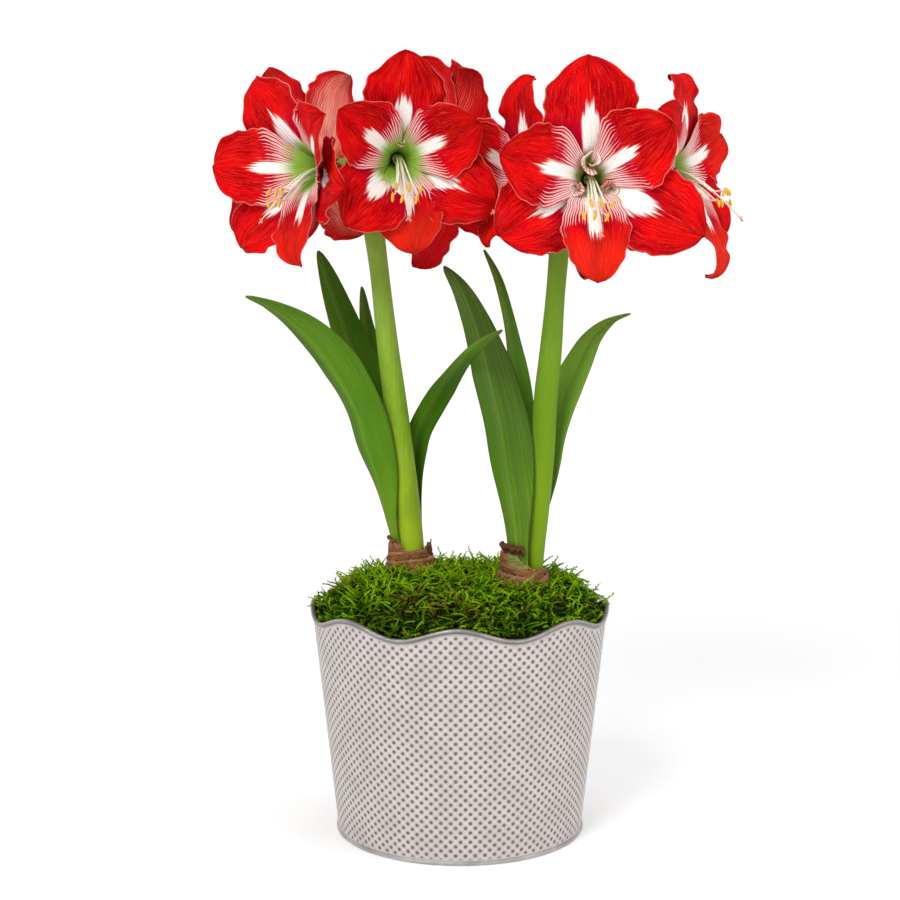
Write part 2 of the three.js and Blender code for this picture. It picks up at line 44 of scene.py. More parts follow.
# ---- sizes shared with the part
POT_BASE_R, POT_RIM_R, POT_RIM_Z = 94.0, 113.0, 170.4
RIM_WAVE, RIM_LOBES, RIM_TURN = 4.5, 8, math.radians(-1.2)
RIM_BEAD_R, FOOT_BEAD = 1.7, 1.6
MOSS_CREST, MOSS_EDGE, MOSS_R = 199.0, 168.0, 107.5
CUP_Z, NECK_Z = 187.0, 186.0    # floor of the hollow in a neck, and where the neck begins
TUBE_R, PLUG_H, OVARY_LEN = 5.0, 5.5, 14.0

# Each plant: bulb, radius of its neck at the moss, top of the scape, and the neck's torn mouth as
# (compass angle, radius, height).
PLANTS = {
    "left": {"bulb": (-38, 34), "neck": 19.6, "top": (-68, 22, 470), "mouth": [
        (-180, 17.4, 208), (-120, 17.6, 212), (-62, 18.2, 218), (-35, 15.4, 212), (0, 12.5, 208),
        (40, 12.6, 210), (85, 15, 216), (120, 16.6, 210), (180, 17.4, 208)]},
    "right": {"bulb": (47.5, -21), "neck": 18.6, "top": (76, -18, 468), "mouth": [
        (-180, 16.2, 206), (-120, 16.4, 212), (-62, 17.2, 219), (-38, 17.2, 219), (10, 13.4, 208),
        (60, 15.2, 203), (90, 17.2, 204), (135, 17.6, 202), (180, 16.2, 206)]},
}

# Scape centrelines from the bulb to the umbel, with the radius at each point.
SCAPES = {
    "left": [(-38, 34, 187.4, 10.2), (-38.4, 34, 213, 10.2), (-44, 32, 271, 9.9), (-50.5, 29, 328, 9.1),
             (-55.4, 27, 366, 8.5), (-62.3, 23, 430, 7.4), (-68, 22, 474, 8.6)],
    "right": [(55.7, -21, 187.4, 6), (56.7, -21, 212, 6.6), (60.2, -21, 256, 7.7), (62.6, -20.5, 294, 8.6),
              (64, -20, 331, 8.9), (67.6, -19, 366, 8.4), (71.2, -18, 411, 7.2), (76, -18, 472, 8.2)],
}

# Leaves and spathes: half-width at the root and at the broadest, compass angles that the outer
# face looks to, the keel's fold and its place across the blade, and the centreline.
LEAVES = {
    "leaf_left_1": (4.6, 16.5, (-52, -18), 0.45, -0.5, [
        (-48.8, 28.4, 187.4), (-49.7, 28.3, 212), (-54.5, 27, 235), (-60.8, 25, 270), (-67, 23.5, 292),
        (-75, 21, 321), (-90.5, 16, 351), (-106.5, 11.5, 372.5), (-126, 7, 390.5), (-145, 1, 402),
        (-161.4, -6, 409)]),
    "leaf_left_2": (5, 17, (-117, -160), 0.3, 0, [
        (-48.6, 40, 187.4), (-49.4, 42.3, 225), (-53, 46, 265), (-60, 49, 300), (-71, 52, 335),
        (-85, 55, 368), (-97, 57, 402), (-107, 60, 431), (-112.7, 62, 446)]),
    "leaf_left_3": (3.8, 10, (176, 200), 0.3, 0, [
        (-40.4, 46.6, 187.4), (-42.3, 49.4, 225), (-49, 60, 263), (-54, 65, 303), (-62, 69, 337),
        (-69, 71, 361), (-75, 72, 388), (-78.7, 73, 418)]),
    "leaf_left_4": (3.8, 9.6, (148, 180), 0.25, 0, [
        (-32.6, 44.9, 187.4), (-33, 46.9, 225), (-35.4, 50, 270), (-34, 50, 288), (-31, 47.5, 304),
        (-21.5, 33, 324), (-8.6, 2, 346), (6.8, -32, 366.2), (19, -43, 377), (30.2, -51, 383.6)]),
    "leaf_right_1": (7.4, 17, (-14, 14), 0.45, -0.5, [
        (44, -30, 187.4), (43, -31.5, 225), (41.5, -34, 257), (39.5, -34, 280), (35.5, -30, 312),
        (29, -22, 340), (21.5, -14, 366), (11.5, -8, 393), (0, -4, 416), (-12, -2, 431.5)]),
    "leaf_right_2": (5, 9.5, (-170, -130), 0.3, 0, [
        (47, -9.4, 187.4), (47, -5.6, 225), (47.2, 2.4, 262), (49, 6.6, 300), (47, 9, 330), (42, 13, 362),
        (36.5, 16, 394), (29, 19, 422), (18.7, 22, 445)]),
    "leaf_right_3": (3.6, 14.5, (132, 150), 0.4, 0, [
        (57.6, -12.2, 187.4), (58.8, -11.8, 212), (61.8, -8.2, 235), (65.6, -4.4, 265), (70.5, -1, 299),
        (80.5, 2, 331), (91, 7, 355), (102, 12, 376), (115, 15, 388.5), (131.3, 18, 396)]),
}
# How old or dark a leaf is: -1 lighter, 1 darker, 2 old and olive, and 0 for all others.
TONES = {"leaf_left_2": 0.6, "leaf_left_3": 0.6, "leaf_right_1": 2.0, "leaf_right_3": -1.0}
SPATHES = {
    "spathe_left_1": (4, 6.5, (185, 178), 0.3, 0, [
        (-67.5, 31.4, 464), (-67, 44, 474), (-66.5, 57, 470), (-66, 66, 452)]),
    "spathe_left_2": (4, 7, (70, 80), 0.3, 0, [
        (-58, 19.1, 464), (-45, 12, 478), (-30, 7, 478), (-20, 4, 462)]),
    "spathe_right_1": (4, 6.5, (52, 66), 0.3, 0, [
        (82.5, -23.6, 464), (104, -46, 478), (126, -60, 486), (144, -64, 478), (151, -66, 462)]),
    "spathe_right_2": (4, 6, (-125, -110), 0.3, 0, [
        (67.9, -12.8, 464), (54, 1, 484), (40, 7, 500), (25, 9, 508)]),
}

# A bloom looks to one bearing and lies at another from the top of its scape, this far out and up.
# grown is the size of its stamens, and the outer three of its six tepals come first. A tepal has its
# angle round the axis, its flare and the hook of its tip in degrees, and the white at its base, which
# also says how pale its back is. hook_start is a share of the length.
Bloom = namedtuple("Bloom", "plant facing bearing tilt roll reach rise grown tepals")
Tepal = namedtuple("Tepal", "angle length half flare hook white hook_start", defaults=[0.84])
BLOOMS = {
    "left_front": Bloom("left", 10, 31, -8, 3, 38.6, 41, 1, [
        (87, 93, 30, 68, 20, 0.1), (224, 84, 28, 54, 25, 0.9), (333, 90, 28, 71, 30, 0.9),
        (24, 76, 27, 65, 20, 0.45), (275, 79, 25, 74, 35, 0.95), (141, 78, 25, 58, 20, 0.3)]),
    "left_side": Bloom("left", -49, -49, -2, 19, 32, 34, 1, [
        (102, 95, 30, 69, 25, 0.2), (205, 100, 28, 66, 30, 0.8), (325, 92, 30, 65, 30, 0.2),
        (8, 91, 29, 58, 40, 0.4, 0.8), (261, 91, 24, 65, 60, 0.6, 0.8), (156, 98.5, 28, 60, 10, 0.3)]),
    "left_inner": Bloom("left", 131, 126, 5, 0, 38, 50, 1, [
        (70, 104, 30, 76, 110, 0.5, 0.55), (188, 92, 28, 74, 30, 0.4, 0.8), (296, 113, 31, 88, 30, 0.0, 0.86),
        (2, 86, 24, 72, 60, 0.5, 0.7), (246, 92, 24, 70, 40, 0.9, 0.8), (119, 94, 28, 76, 100, 0.25, 0.6)]),
    "left_back": Bloom("left", -136, -136, 4, 11, 37, 42, 1, [
        (106, 102, 29, 74, 60, 0.95, 0.8), (210, 92, 28, 76, 30, 0.7), (308, 104, 28, 74, 30, 0.9),
        (50, 97, 24, 77, 15, 0.3), (267, 84, 22, 67, 60, 0.9, 0.8), (150, 88, 24, 68, 30, 0.5)]),
    "right_front": Bloom("right", 3, 20, -3, 4, 42, 23, 1, [
        (90, 97, 33, 76, 20, 0.1), (207, 91, 31, 76, 30, 0.8), (328, 102, 30, 73, 15, 0.9),
        (32, 80, 29, 63, 20, 0.3), (268, 87, 23, 69, 30, 0.7), (163, 84, 28, 67, 20, 0.3)]),
    "right_side": Bloom("right", 60, 84, 1, 0, 66, 31, 0.95, [
        (97, 86, 25, 86, 110, 0.2, 0.76), (225, 76, 20, 60, 30, 0.7), (314, 75.5, 26, 66, 30, 0.8),
        (30, 74, 27, 78, 25, 0.6), (268, 98, 22, 66, 110, 0.8, 0.82), (142, 70, 25, 80, 50, 0.3, 0.8)]),
    "right_inner": Bloom("right", -60, -60, 3, -6, 10, 24, 0.65, [
        (82, 88, 27, 74, 70, 0.2, 0.75), (208, 84, 24, 70, 30, 0.7), (330, 60, 20, 48, 20, 0.7),
        (30, 58, 19, 46, 20, 0.5), (260, 67, 20, 58, 30, 0.5), (150, 80, 22, 64, 30, 0.5)]),
    "right_back": Bloom("right", 152, 152, 3, 0, 36, 24, 1, [
        (90, 94, 29, 76, 30, 0.2), (210, 92, 28, 76, 30, 0.7), (330, 92, 28, 76, 30, 0.7),
        (30, 88, 25, 68, 40, 0.5), (284, 88, 22, 69, 40, 0.0), (144, 90, 25, 72, 30, 0.5)]),
}

# How green the throat is, from olive at 0 to bright green at 1. The others are 0.35.
THROAT_GREEN = {"left_front": 1.0, "left_side": 0.9, "right_side": 0.6}

# Curled lobes in the throats: angle round the axis, distance from it, how far ahead of the base,
# radius of the curl, half-width, and the depth of colour.
LOBES = {
    "right_front": [(88, 12, 26, 7.2, 4.6, 0.31), (206, 14, 26, 5, 4, 0.34), (322, 15, 27, 5.4, 4, 0.38)],
    "left_front": [(84, 14, 23, 3.6, 3, 0.22)],
}
FILAMENT_REACH, STYLE_REACH = 47, 62.5         # how far forward they come in a fully grown bloom

# Strands of moss on each half of the mound, steps along a strand, leaves on it, and the scorched
# spots as (x, y, share of brown strands, square of the spot's radius).
STRANDS, STRAND_STEPS, LEAFLETS = 2440, 5, 12
SCORCHED = [(-30, -82, 0.3, 900), (-38, 12, 0.6, 300)]

# The camera fitted to the photograph: place in metres, degrees below level, and focal length in mm.
CAMERA_PLACE, CAMERA_DOWN, CAMERA_LENS = (-0.00755, -1.1535, 0.3895), 4.826, 60.56


# ---- small helpers
def ease(x):
    x = np.clip(x, 0, 1)
    return x * x * (3 - 2 * x)


def lerp(a, b, t):
    return a + (b - a) * t


def unit(a):
    return a / np.maximum(np.linalg.norm(a, axis=-1, keepdims=True), 1e-12)


def wave(turns):
    return np.sin(2 * math.pi * turns)


def cos_sin(degrees):
    return math.cos(math.radians(degrees)), math.sin(math.radians(degrees))


def compass(degrees):
    """The level direction at a bearing: 0 comes toward the camera and 90 points right."""
    cosine, sine = cos_sin(degrees)
    return np.array((sine, -cosine, 0.0))


def circle(count):
    """Evenly spaced angles of one whole turn."""
    return np.linspace(0, 2 * math.pi, count, endpoint=False)


def triple(a, b, c):
    """Three values per point, spread to one common shape."""
    return np.stack(np.broadcast_arrays(a, b, c), axis=-1)


def between(a, b, low, high, s):
    """What lies between a, which stands at low, and b, which stands at high, at the places s."""
    return a * (high - s) / (high - low) + b * (s - low) / (high - low)


def smooth_line(points, count):
    """Evenly spaced points on a centripetal Catmull-Rom curve through the given ones."""
    p = np.array(points, float)
    p = np.vstack([2 * p[0] - p[1], p, 2 * p[-1] - p[-2]])
    out = []
    for i in range(len(p) - 3):
        knots = p[i:i + 4]
        t = np.cumsum([0, *(np.linalg.norm(b[:3] - a[:3]) ** 0.5 for a, b in zip(knots, knots[1:]))])
        s = np.linspace(t[1], t[2], 24, endpoint=i == len(p) - 4)[:, None]
        for step in (1, 2):
            knots = [between(knots[k], knots[k + 1], t[k], t[k + step], s) for k in range(len(knots) - 1)]
        out.append(between(*knots, t[1], t[2], s))
    fine = np.vstack(out)
    length = np.concatenate([[0], np.cumsum(np.linalg.norm(np.diff(fine[:, :3], axis=0), axis=1))])
    even = np.linspace(0, length[-1], count)
    return np.stack([np.interp(even, length, fine[:, k]) for k in range(p.shape[1])], axis=1)


def grid_faces(rows, columns, wrap=False):
    i, j = np.meshgrid(np.arange(rows - 1), np.arange(columns if wrap else columns - 1), indexing="ij")
    k = (j + 1) % columns
    row, after = i * columns, (i + 1) * columns
    return np.stack([row + j, after + j, after + k, row + k], axis=-1).reshape(-1, 4)


def add_object(name, data):
    thing = bpy.data.objects.new(name, data)
    bpy.context.scene.collection.objects.link(thing)
    return thing


class Shape:
    """Points, faces and two triples of values per point of one piece, gathered part by part."""

    def __init__(self):
        self.points, self.faces, self.place, self.kind = [], [], [], []
        self.count = 0

    def add(self, points, faces, place=(0, 0, 0), kind=(0, 0, 0)):
        points = np.asarray(points, float).reshape(-1, 3)
        self.points.append(points)
        for kept, values in ((self.place, place), (self.kind, kind)):
            kept.append(np.broadcast_to(np.asarray(values, float).reshape(-1, 3), points.shape))
        self.faces.append(np.asarray(faces) + self.count)
        self.count += len(points)

    def blade(self, grid, thickness, place, kind):
        """A thin closed blade round a grid of points. kind[0] counts on its front and is 0 on its back."""
        normal = unit(np.cross(np.gradient(grid, axis=0), np.gradient(grid, axis=1)))
        offset = normal * (np.broadcast_to(thickness, grid.shape[:2])[..., None] / 2)
        rows, columns = grid.shape[:2]
        faces = grid_faces(rows, columns)
        under = rows * columns
        index = np.arange(under).reshape(rows, columns)
        rim = np.concatenate([index[0, :-1], index[:-1, -1], index[-1, :0:-1], index[:0:-1, 0]])
        after = np.roll(rim, -1)
        edges = np.stack([rim, after, after + under, rim + under], axis=1)
        faces = np.concatenate([faces, faces[:, ::-1] + under, edges])
        kinds = np.repeat([kind, (0.0, *kind[1:])], under, axis=0)
        self.add([grid + offset, grid - offset], faces, np.tile(np.reshape(place, (-1, 3)), (2, 1)), kinds)

    def shell(self, rings, place=(0, 0, 0), kind=(0, 0, 0)):
        """A closed skin through rings of equally many points, with a fan at either end."""
        rings = np.asarray(rings, float)
        place, kind = (np.broadcast_to(np.asarray(values, float), rings.shape) for values in (place, kind))
        count, sides = rings.shape[:2]
        start = self.count
        self.add(rings, grid_faces(count, sides, wrap=True)[:, ::-1], place, kind)
        turn = np.arange(sides)
        after = (turn + 1) % sides
        for row, one, other in ((0, turn, after), (count - 1, after, turn)):
            first = start + row * sides
            centre = np.full(sides, self.count - first)
            point, *values = (each[row].mean(axis=0) for each in (rings, place, kind))
            self.add(point, np.zeros((0, 3), int), *values)
            self.faces.append(first + np.stack([one, other, centre], axis=1))

    def tube(self, path, radii, sides, kind=(0, 0, 0)):
        """A closed tube along a path. place is (share of the length, angle, radius)."""
        path, radii = np.asarray(path, float), np.asarray(radii, float)
        along = unit(np.gradient(path, axis=0))
        side = np.array((1.0, 0.0, 0.0) if abs(along[0, 2]) > 0.9 else (0.0, 0.0, 1.0))
        angle = circle(sides)
        rings = []
        for centre, forward, radius in zip(path, along, radii):
            side = unit(side - forward * (side @ forward))
            other = np.cross(forward, side)
            rings.append(centre + radius * (np.cos(angle)[:, None] * side + np.sin(angle)[:, None] * other))
        self.shell(rings, triple(np.linspace(0, 1, len(path))[:, None], angle, radii[:, None]), kind)

    def make(self, name, nodes, material):
        """Builds the Blender object, in metres, which stands for the given CAD nodes."""
        mesh = bpy.data.meshes.new(name)
        points = np.concatenate(self.points) * MM
        mesh.vertices.add(len(points))
        mesh.vertices.foreach_set("co", points.astype(np.float32).ravel())
        loops = np.concatenate([f.ravel() for f in self.faces])
        sizes = np.concatenate([np.full(len(f), f.shape[1]) for f in self.faces if len(f)])
        mesh.loops.add(len(loops))
        mesh.loops.foreach_set("vertex_index", loops.astype(np.int32))
        mesh.polygons.add(len(sizes))
        mesh.polygons.foreach_set("loop_start", (np.cumsum(sizes) - sizes).astype(np.int32))
        mesh.update(calc_edges=True)
        for key, parts in (("place", self.place), ("kind", self.kind)):
            attribute = mesh.attributes.new(key, "FLOAT_VECTOR", "POINT")
            attribute.data.foreach_set("vector", np.concatenate(parts).astype(np.float32).ravel())
        mesh.shade_smooth()
        mesh.materials.append(material)
        piece = add_object(name, mesh)
        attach(piece, "root")
        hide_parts(*nodes)


# ---- node materials
class Field:
    """A number on a surface, as a node socket, so that patterns can be written as formulas."""

    def __init__(self, paint, socket):
        self.paint, self.socket = paint, socket

    def __add__(self, other): return self.paint.math("ADD", self, other)
    __radd__ = __add__
    def __mul__(self, other): return self.paint.math("MULTIPLY", self, other)
    def __sub__(self, other): return self.paint.math("SUBTRACT", self, other)
    def __rsub__(self, other): return self.paint.math("SUBTRACT", other, self)
    def __truediv__(self, other): return self.paint.math("DIVIDE", self, other)
    def __abs__(self): return self.paint.math("ABSOLUTE", self)
    def most(self, other): return self.paint.math("MAXIMUM", self, other)
    def least(self, other): return self.paint.math("MINIMUM", self, other)

    def rise(self, low, high):
        """0 below low and 1 above high, smooth between."""
        node = self.paint.node("ShaderNodeMapRange", {"Value": self, "From Min": low, "From Max": high},
                               interpolation_type="SMOOTHSTEP")
        return Field(self.paint, node.outputs["Result"])


class Paint:
    """A material with one Principled shader."""

    def __init__(self, name, roughness=0.5, specular=0.5):
        self.material = bpy.data.materials.new(name)
        self.material.use_nodes = True
        self.tree = self.material.node_tree
        self.tree.nodes.clear()
        inputs = {"Roughness": roughness, "Specular IOR Level": specular}
        self.shader = self.node("ShaderNodeBsdfPrincipled", inputs)
        output = self.node("ShaderNodeOutputMaterial")
        self.tree.links.new(self.shader.outputs["BSDF"], output.inputs["Surface"])

    def node(self, kind, inputs=(), **settings):
        """A new node with its settings, and with values or fields for its inputs by name or number."""
        node = self.tree.nodes.new(kind)
        for key, value in settings.items():
            setattr(node, key, value)
        for key, value in dict(inputs).items():
            self.feed(node.inputs[key], value)
        return node

    def feed(self, socket, value):
        if isinstance(value, Field):
            self.tree.links.new(value.socket, socket)
        else:
            socket.default_value = value

    def math(self, operation, *values):
        return Field(self, self.node("ShaderNodeMath", enumerate(values), operation=operation).outputs[0])

    def split(self, socket):
        node = self.node("ShaderNodeSeparateXYZ", {0: Field(self, socket)})
        return [Field(self, output) for output in node.outputs]

    def values(self, name):
        return self.split(self.node("ShaderNodeAttribute", attribute_name=name).outputs["Vector"])

    def position(self):
        """The place in the part's own frame, in millimetres."""
        return [axis * (1 / MM) for axis in self.split(self.node("ShaderNodeTexCoord").outputs["Object"])]

    def noise(self, x, y, z, detail=2.0, roughness=0.5):
        place = Field(self, self.node("ShaderNodeCombineXYZ", enumerate((x, y, z))).outputs[0])
        inputs = {"Vector": place, "Scale": 1.0, "Detail": detail, "Roughness": roughness}
        return Field(self, self.node("ShaderNodeTexNoise", inputs).outputs["Fac"])

    def mix(self, share, a, b):
        """Colour a where share is 0 and b where it is 1."""
        a, b = (colour if isinstance(colour, Field) else (*colour, 1.0) for colour in (a, b))
        node = self.node("ShaderNodeMix", {"Factor": share, 6: a, 7: b}, data_type="RGBA", clamp_factor=True)
        return Field(self, node.outputs[2])

    def coats(self, base, *coats):
        """A base colour with others laid over it in turn, each as (share, colour)."""
        for share, colour in coats:
            base = self.mix(share, base, colour)
        return base

    def lines(self, value):
        """0 at every whole value and 1 halfway between."""
        return self.math("PINGPONG", value, 0.5) * 2.0

    def colour(self, value):
        self.feed(self.shader.inputs["Base Color"], value)

    def roughness(self, value):
        self.feed(self.shader.inputs["Roughness"], value)

    def bump(self, height, distance):
        """Relief of the given height field, whose full range stands that many millimetres high."""
        node = self.node("ShaderNodeBump", {"Strength": 1.0, "Distance": distance * MM, "Height": height})
        self.tree.links.new(node.outputs["Normal"], self.shader.inputs["Normal"])


def petal_paint():
    paint = Paint("petal", specular=0.015)
    u, v, x = paint.values("place")                 # along the tepal, across it, and millimetres from the rib
    face, whorl, seed = paint.values("kind")        # face: 0 back, 1 + green of the throat / 10
    front = face.rise(0.4, 0.6)
    green_share = (face - 1.0) * 10.0
    inner = whorl.rise(0.49, 0.51)                  # whorl: 0 or 1, plus the white at the base / 10
    white_base = (whorl - inner) * 10.0
    side = abs(v)
    streak = paint.noise(v * 19.0 + seed * 40.0, u * 2.0, seed * 17.0, 3.0, 0.65)
    broad = paint.noise(v * 1.7 + seed * 11.0, u * 3.0, seed * 5.0, 2.0)
    bend = paint.noise(v * 4.0 + 3.0, u * 5.0, seed * 23.0, 1.0)
    fine = paint.noise(v * 42.0 + seed * 9.0, u * 6.0, seed * 31.0, 3.0, 0.65)
    speck = paint.noise(v * 60.0 + seed * 2.0, u * 60.0, seed * 3.0, 1.0)
    vein = paint.lines(v * 11.5 + (bend - 0.5) * 1.7 + seed * 7.0)
    twig = paint.lines(v * 23.0 + u * 6.0 + (bend - 0.5) * 2.8 + seed * 3.0)
    ragged = streak - 0.5

    # The white star: a bar on the midrib with a feathered end, and a broad wedge where the base is white.
    broadness = (0.55 + u * 0.9) * (6.4 - inner * 1.9)
    bar_end = u + x * x * 0.0024 + ragged * 0.34
    bar = (1.0 - (abs(x) + ragged * 3.6 - broadness).rise(-1.0, 1.0)) * (1.0 - bar_end.rise(0.61, 0.68))
    wedge_end = u + side * (1.5 - white_base) + ragged * 0.5 - white_base * 0.15
    wedge = (1.0 - wedge_end.rise(0.46, 0.56)) * (1.0 - inner * (1.0 - white_base.rise(0.55, 0.75)))
    star = bar.most(wedge)

    # Share of the surface that the red veins cover: it grows outward until they merge.
    merged = u + (broad - 0.5) * 0.14 - side.rise(0.4, 1.0) * 0.1
    inner_cover = 0.38 + merged.rise(0.36, 0.66) * 0.9 - white_base * (1.0 - u.rise(0.35, 0.6)) * 0.15
    outer_cover = 0.66 + merged.rise(0.1, 0.34) * 0.6
    cover = outer_cover + (inner_cover - outer_cover) * inner + ragged * 0.3
    red = (cover - vein.least(twig + 0.3)).rise(-0.12, 0.12) * (1.0 - star)

    # The front: reds, the pale ground between the veins, and the throat in olive or bright green.
    deep = paint.coats(
        (0.35, 0.0, 0.003),
        (broad.rise(0.36, 0.66), (0.69, 0.001, 0.003)),
        (fine.rise(0.46, 0.62) * 0.6, (0.80, 0.018, 0.010)),
        ((1.0 - fine.rise(0.34, 0.48)) * 0.45, (0.24, 0.0, 0.004)),
        # partly the petal's own streaking and partly painted highlight: orange streaks, then light specks
        # painted as glints of its sparkling cells
        (fine.rise(0.6, 0.75) * streak.rise(0.4, 0.6) * 0.7, (0.90, 0.13, 0.085)),
        (speck.rise(0.66, 0.78) * 0.4, (0.93, 0.14, 0.10)),
        (1.0 - u.rise(0.4, 0.65), (0.44, 0.0, 0.018)),
        (white_base.rise(0.4, 0.8) * u.rise(0.55, 0.8) * inner * 0.42, (0.86, 0.04, 0.012)))
    pale = paint.coats(
        (0.64, 0.70, 0.32),
        (u.rise(0.22, 0.36), (0.88, 0.84, 0.78)),
        (u.rise(0.22, 0.5) * (1.0 - star) * 0.8, (0.82, 0.36, 0.35)))
    olive = paint.mix(u.rise(0.01, 0.12), (0.045, 0.05, 0.008), (0.30, 0.34, 0.07))
    bright = paint.mix(u.rise(0.02, 0.2) + ragged * 0.5, (0.045, 0.15, 0.008), (0.28, 0.50, 0.06))
    depth = u + ragged * 0.12 + side * 0.03 - green_share * 0.18
    surface = paint.coats(
        olive, (green_share, bright), (depth.rise(0.13, 0.28), pale), (red * depth.rise(0.14, 0.2), deep))

    # The back: pale and finely streaked, or nearly as red as the front where white_base is low.
    back_vein = paint.lines(v * 12.0 + (bend - 0.5) * 0.5)
    paleness = 0.15 + white_base * 0.85 - (1.0 - broad.rise(0.3, 0.55)) * 0.35
    back_cover = 1.1 - paleness * (1.2 - side.rise(0.3, 1.0) * 0.85 - u.rise(0.45, 1.0) * 0.45) + ragged
    back = paint.coats(
        (0.40, 0.46, 0.14),
        (u.rise(0.1, 0.3), (0.91, 0.48, 0.37)),
        (broad.rise(0.35, 0.7) * 0.6, (0.84, 0.20, 0.12)),
        ((back_cover - back_vein * 0.4).rise(-0.5, 0.7), (0.54, 0.003, 0.006)),
        (fine.rise(0.5, 0.72) * (0.1 + white_base * 0.4), (0.82, 0.12, 0.08)))

    edge = side.rise(0.965, 0.99) * u.rise(0.2, 0.4) * (streak * 0.9 - 0.05)
    paint.colour(paint.coats(back, (front, surface), (edge, (0.90, 0.34, 0.27))))
    paint.roughness(0.44 + fine * 0.2)
    paint.bump(fine * 0.55 + vein * 0.3 + streak * 0.5 + speck * 0.2, 0.8)
    return paint.material


def leaf_paint():
    paint = Paint("leaf", specular=0.07)
    u, v, x = paint.values("place")                 # x is measured from the keel, in millimetres
    _, seed, tone = paint.values("kind")            # tone: -1 lighter, 1 darker, 2 olive and streaked
    streak = paint.noise(x * 1.1 + seed * 30.0, u * 2.5, seed * 7.0, 3.0, 0.6)
    broad = paint.noise(v * 1.1 + seed * 13.0, u * 4.0, seed * 3.0, 2.0)
    line = paint.lines(x * 0.42 + (streak - 0.5) * 0.8 + seed * 3.0)
    # painted shade: the blade beyond the keel, where it folds away, is darker
    shaded_fold = 1.0 - x.rise(-1.5, 0.5)
    old = tone.rise(1.2, 2.0) * (u.rise(0.2, 0.8) * 0.6 + x.rise(-1.0, 1.0) * streak.rise(0.35, 0.6) * 0.5)
    beside_rib = (1.0 - abs(x - 2.6).rise(0.5, 1.8)) * 0.22
    # painted highlight: a greyish line along the keel
    rib = (1.0 - abs(x).rise(0.2, 1.1)) * u.rise(0.02, 0.2) * (0.2 + streak * 0.3)
    margin = abs(v).rise(0.95, 0.995) * 0.45
    paint.colour(paint.coats(
        (0.21, 0.37, 0.012),
        (u.rise(0.0, 0.42), (0.070, 0.190, 0.004)),
        (u.rise(0.5, 1.0), (0.070, 0.145, 0.010)),
        (streak.rise(0.35, 0.75) * 0.45, (0.14, 0.28, 0.018)),
        ((1.0 - broad.rise(0.3, 0.6)) * 0.4, (0.04, 0.12, 0.003)),
        (line.rise(0.4, 1.0) * streak.rise(0.3, 0.8) * 0.35, (0.15, 0.28, 0.04)),
        (shaded_fold * 0.5, (0.035, 0.105, 0.003)),
        ((1.0 - abs(tone - 1.0)) * 0.35, (0.03, 0.10, 0.002)),
        (tone * -0.6, (0.21, 0.42, 0.05)),
        (old, (0.048, 0.085, 0.014)),
        (beside_rib, (0.16, 0.31, 0.03)),
        (rib, (0.115, 0.12, 0.075)),
        (margin, (0.085, 0.04, 0.012))))
    paint.roughness(0.4 + streak * 0.2)
    paint.bump(paint.noise(x * 3.2 + seed * 5.0, u * 1.5, seed, 2.0), 0.35)
    return paint.material


def stem_paint():
    paint = Paint("stem", roughness=0.45, specular=0.07)
    x, y, z = paint.position()
    streak = paint.noise(x * 1.3, y * 1.3, z * 0.02, 3.0, 0.6)
    patch = paint.noise(x * 0.05, y * 0.05, z * 0.03, 2.0)
    right_scape = x.rise(20.0, 50.0) * (1.0 - z.rise(430.0, 470.0))
    paint.colour(paint.coats(
        (0.36, 0.49, 0.010),
        (z.rise(195.0, 330.0), (0.19, 0.34, 0.012)),
        (z.rise(330.0, 430.0), (0.23, 0.37, 0.050)),
        (z.rise(440.0, 480.0), (0.14, 0.17, 0.03)),
        (z.rise(482.0, 520.0), (0.16, 0.30, 0.05)),
        (streak.rise(0.4, 0.75) * 0.45, (0.36, 0.47, 0.10)),
        ((1.0 - patch.rise(0.3, 0.55)) * 0.35, (0.12, 0.26, 0.008)),
        (right_scape * 0.65, (0.09, 0.20, 0.004))))
    paint.bump(streak, 0.3)
    return paint.material


def stamen_paint():
    paint = Paint("stamen", roughness=0.45, specular=0.2)
    t, angle, _ = paint.values("place")
    part, seed, _ = paint.values("kind")            # part: 0 filament, 1 anther, 2 stigma
    grain = paint.noise(t * 30.0, angle * 3.0, seed * 9.0, 3.0)
    pollen = paint.mix(grain.rise(0.35, 0.65), (0.60, 0.30, 0.01), (0.84, 0.55, 0.05))
    paint.colour(paint.coats(
        (0.36, 0.44, 0.08),
        (t.rise(0.05, 0.6), (0.88, 0.84, 0.74)),
        (t.rise(0.6, 0.98) * 0.5, (0.82, 0.34, 0.26)),
        (part.rise(0.4, 0.6), pollen),
        (part.rise(1.4, 1.6), (0.70, 0.30, 0.22))))
    paint.bump(grain, 0.2)
    return paint.material


def tunic_paint():
    paint = Paint("tunic", roughness=0.6, specular=0.15)
    up, turn, edge = paint.values("place")
    olive, seed, dark = paint.values("kind")
    grain = paint.noise(turn * 0.13 + seed * 9.0, up * 1.5 + turn * 0.05, seed * 5.0, 4.0, 0.65)
    broad = paint.noise(turn * 0.11 + seed * 4.0, up * 0.22, seed * 2.0, 2.0)
    green = paint.mix(grain.rise(0.35, 0.7), (0.10, 0.12, 0.02), (0.30, 0.32, 0.09))
    paint.colour(paint.coats(
        (0.070, 0.018, 0.007),
        (grain.rise(0.34, 0.66), (0.33, 0.115, 0.040)),
        (broad.rise(0.42, 0.7) * 0.5, (0.48, 0.22, 0.08)),
        # painted highlight: paler along the upper edges of the bands and the mouth
        (edge.rise(0.55, 0.85) * 0.4, (0.60, 0.33, 0.17)),
        (dark * (0.55 + grain * 0.5), (0.055, 0.012, 0.006)),
        (olive.rise(0.2, 0.8), green),
        (edge.rise(0.93, 1.0) * 0.55, (0.10, 0.035, 0.02))))
    paint.bump(grain, 0.6)
    return paint.material


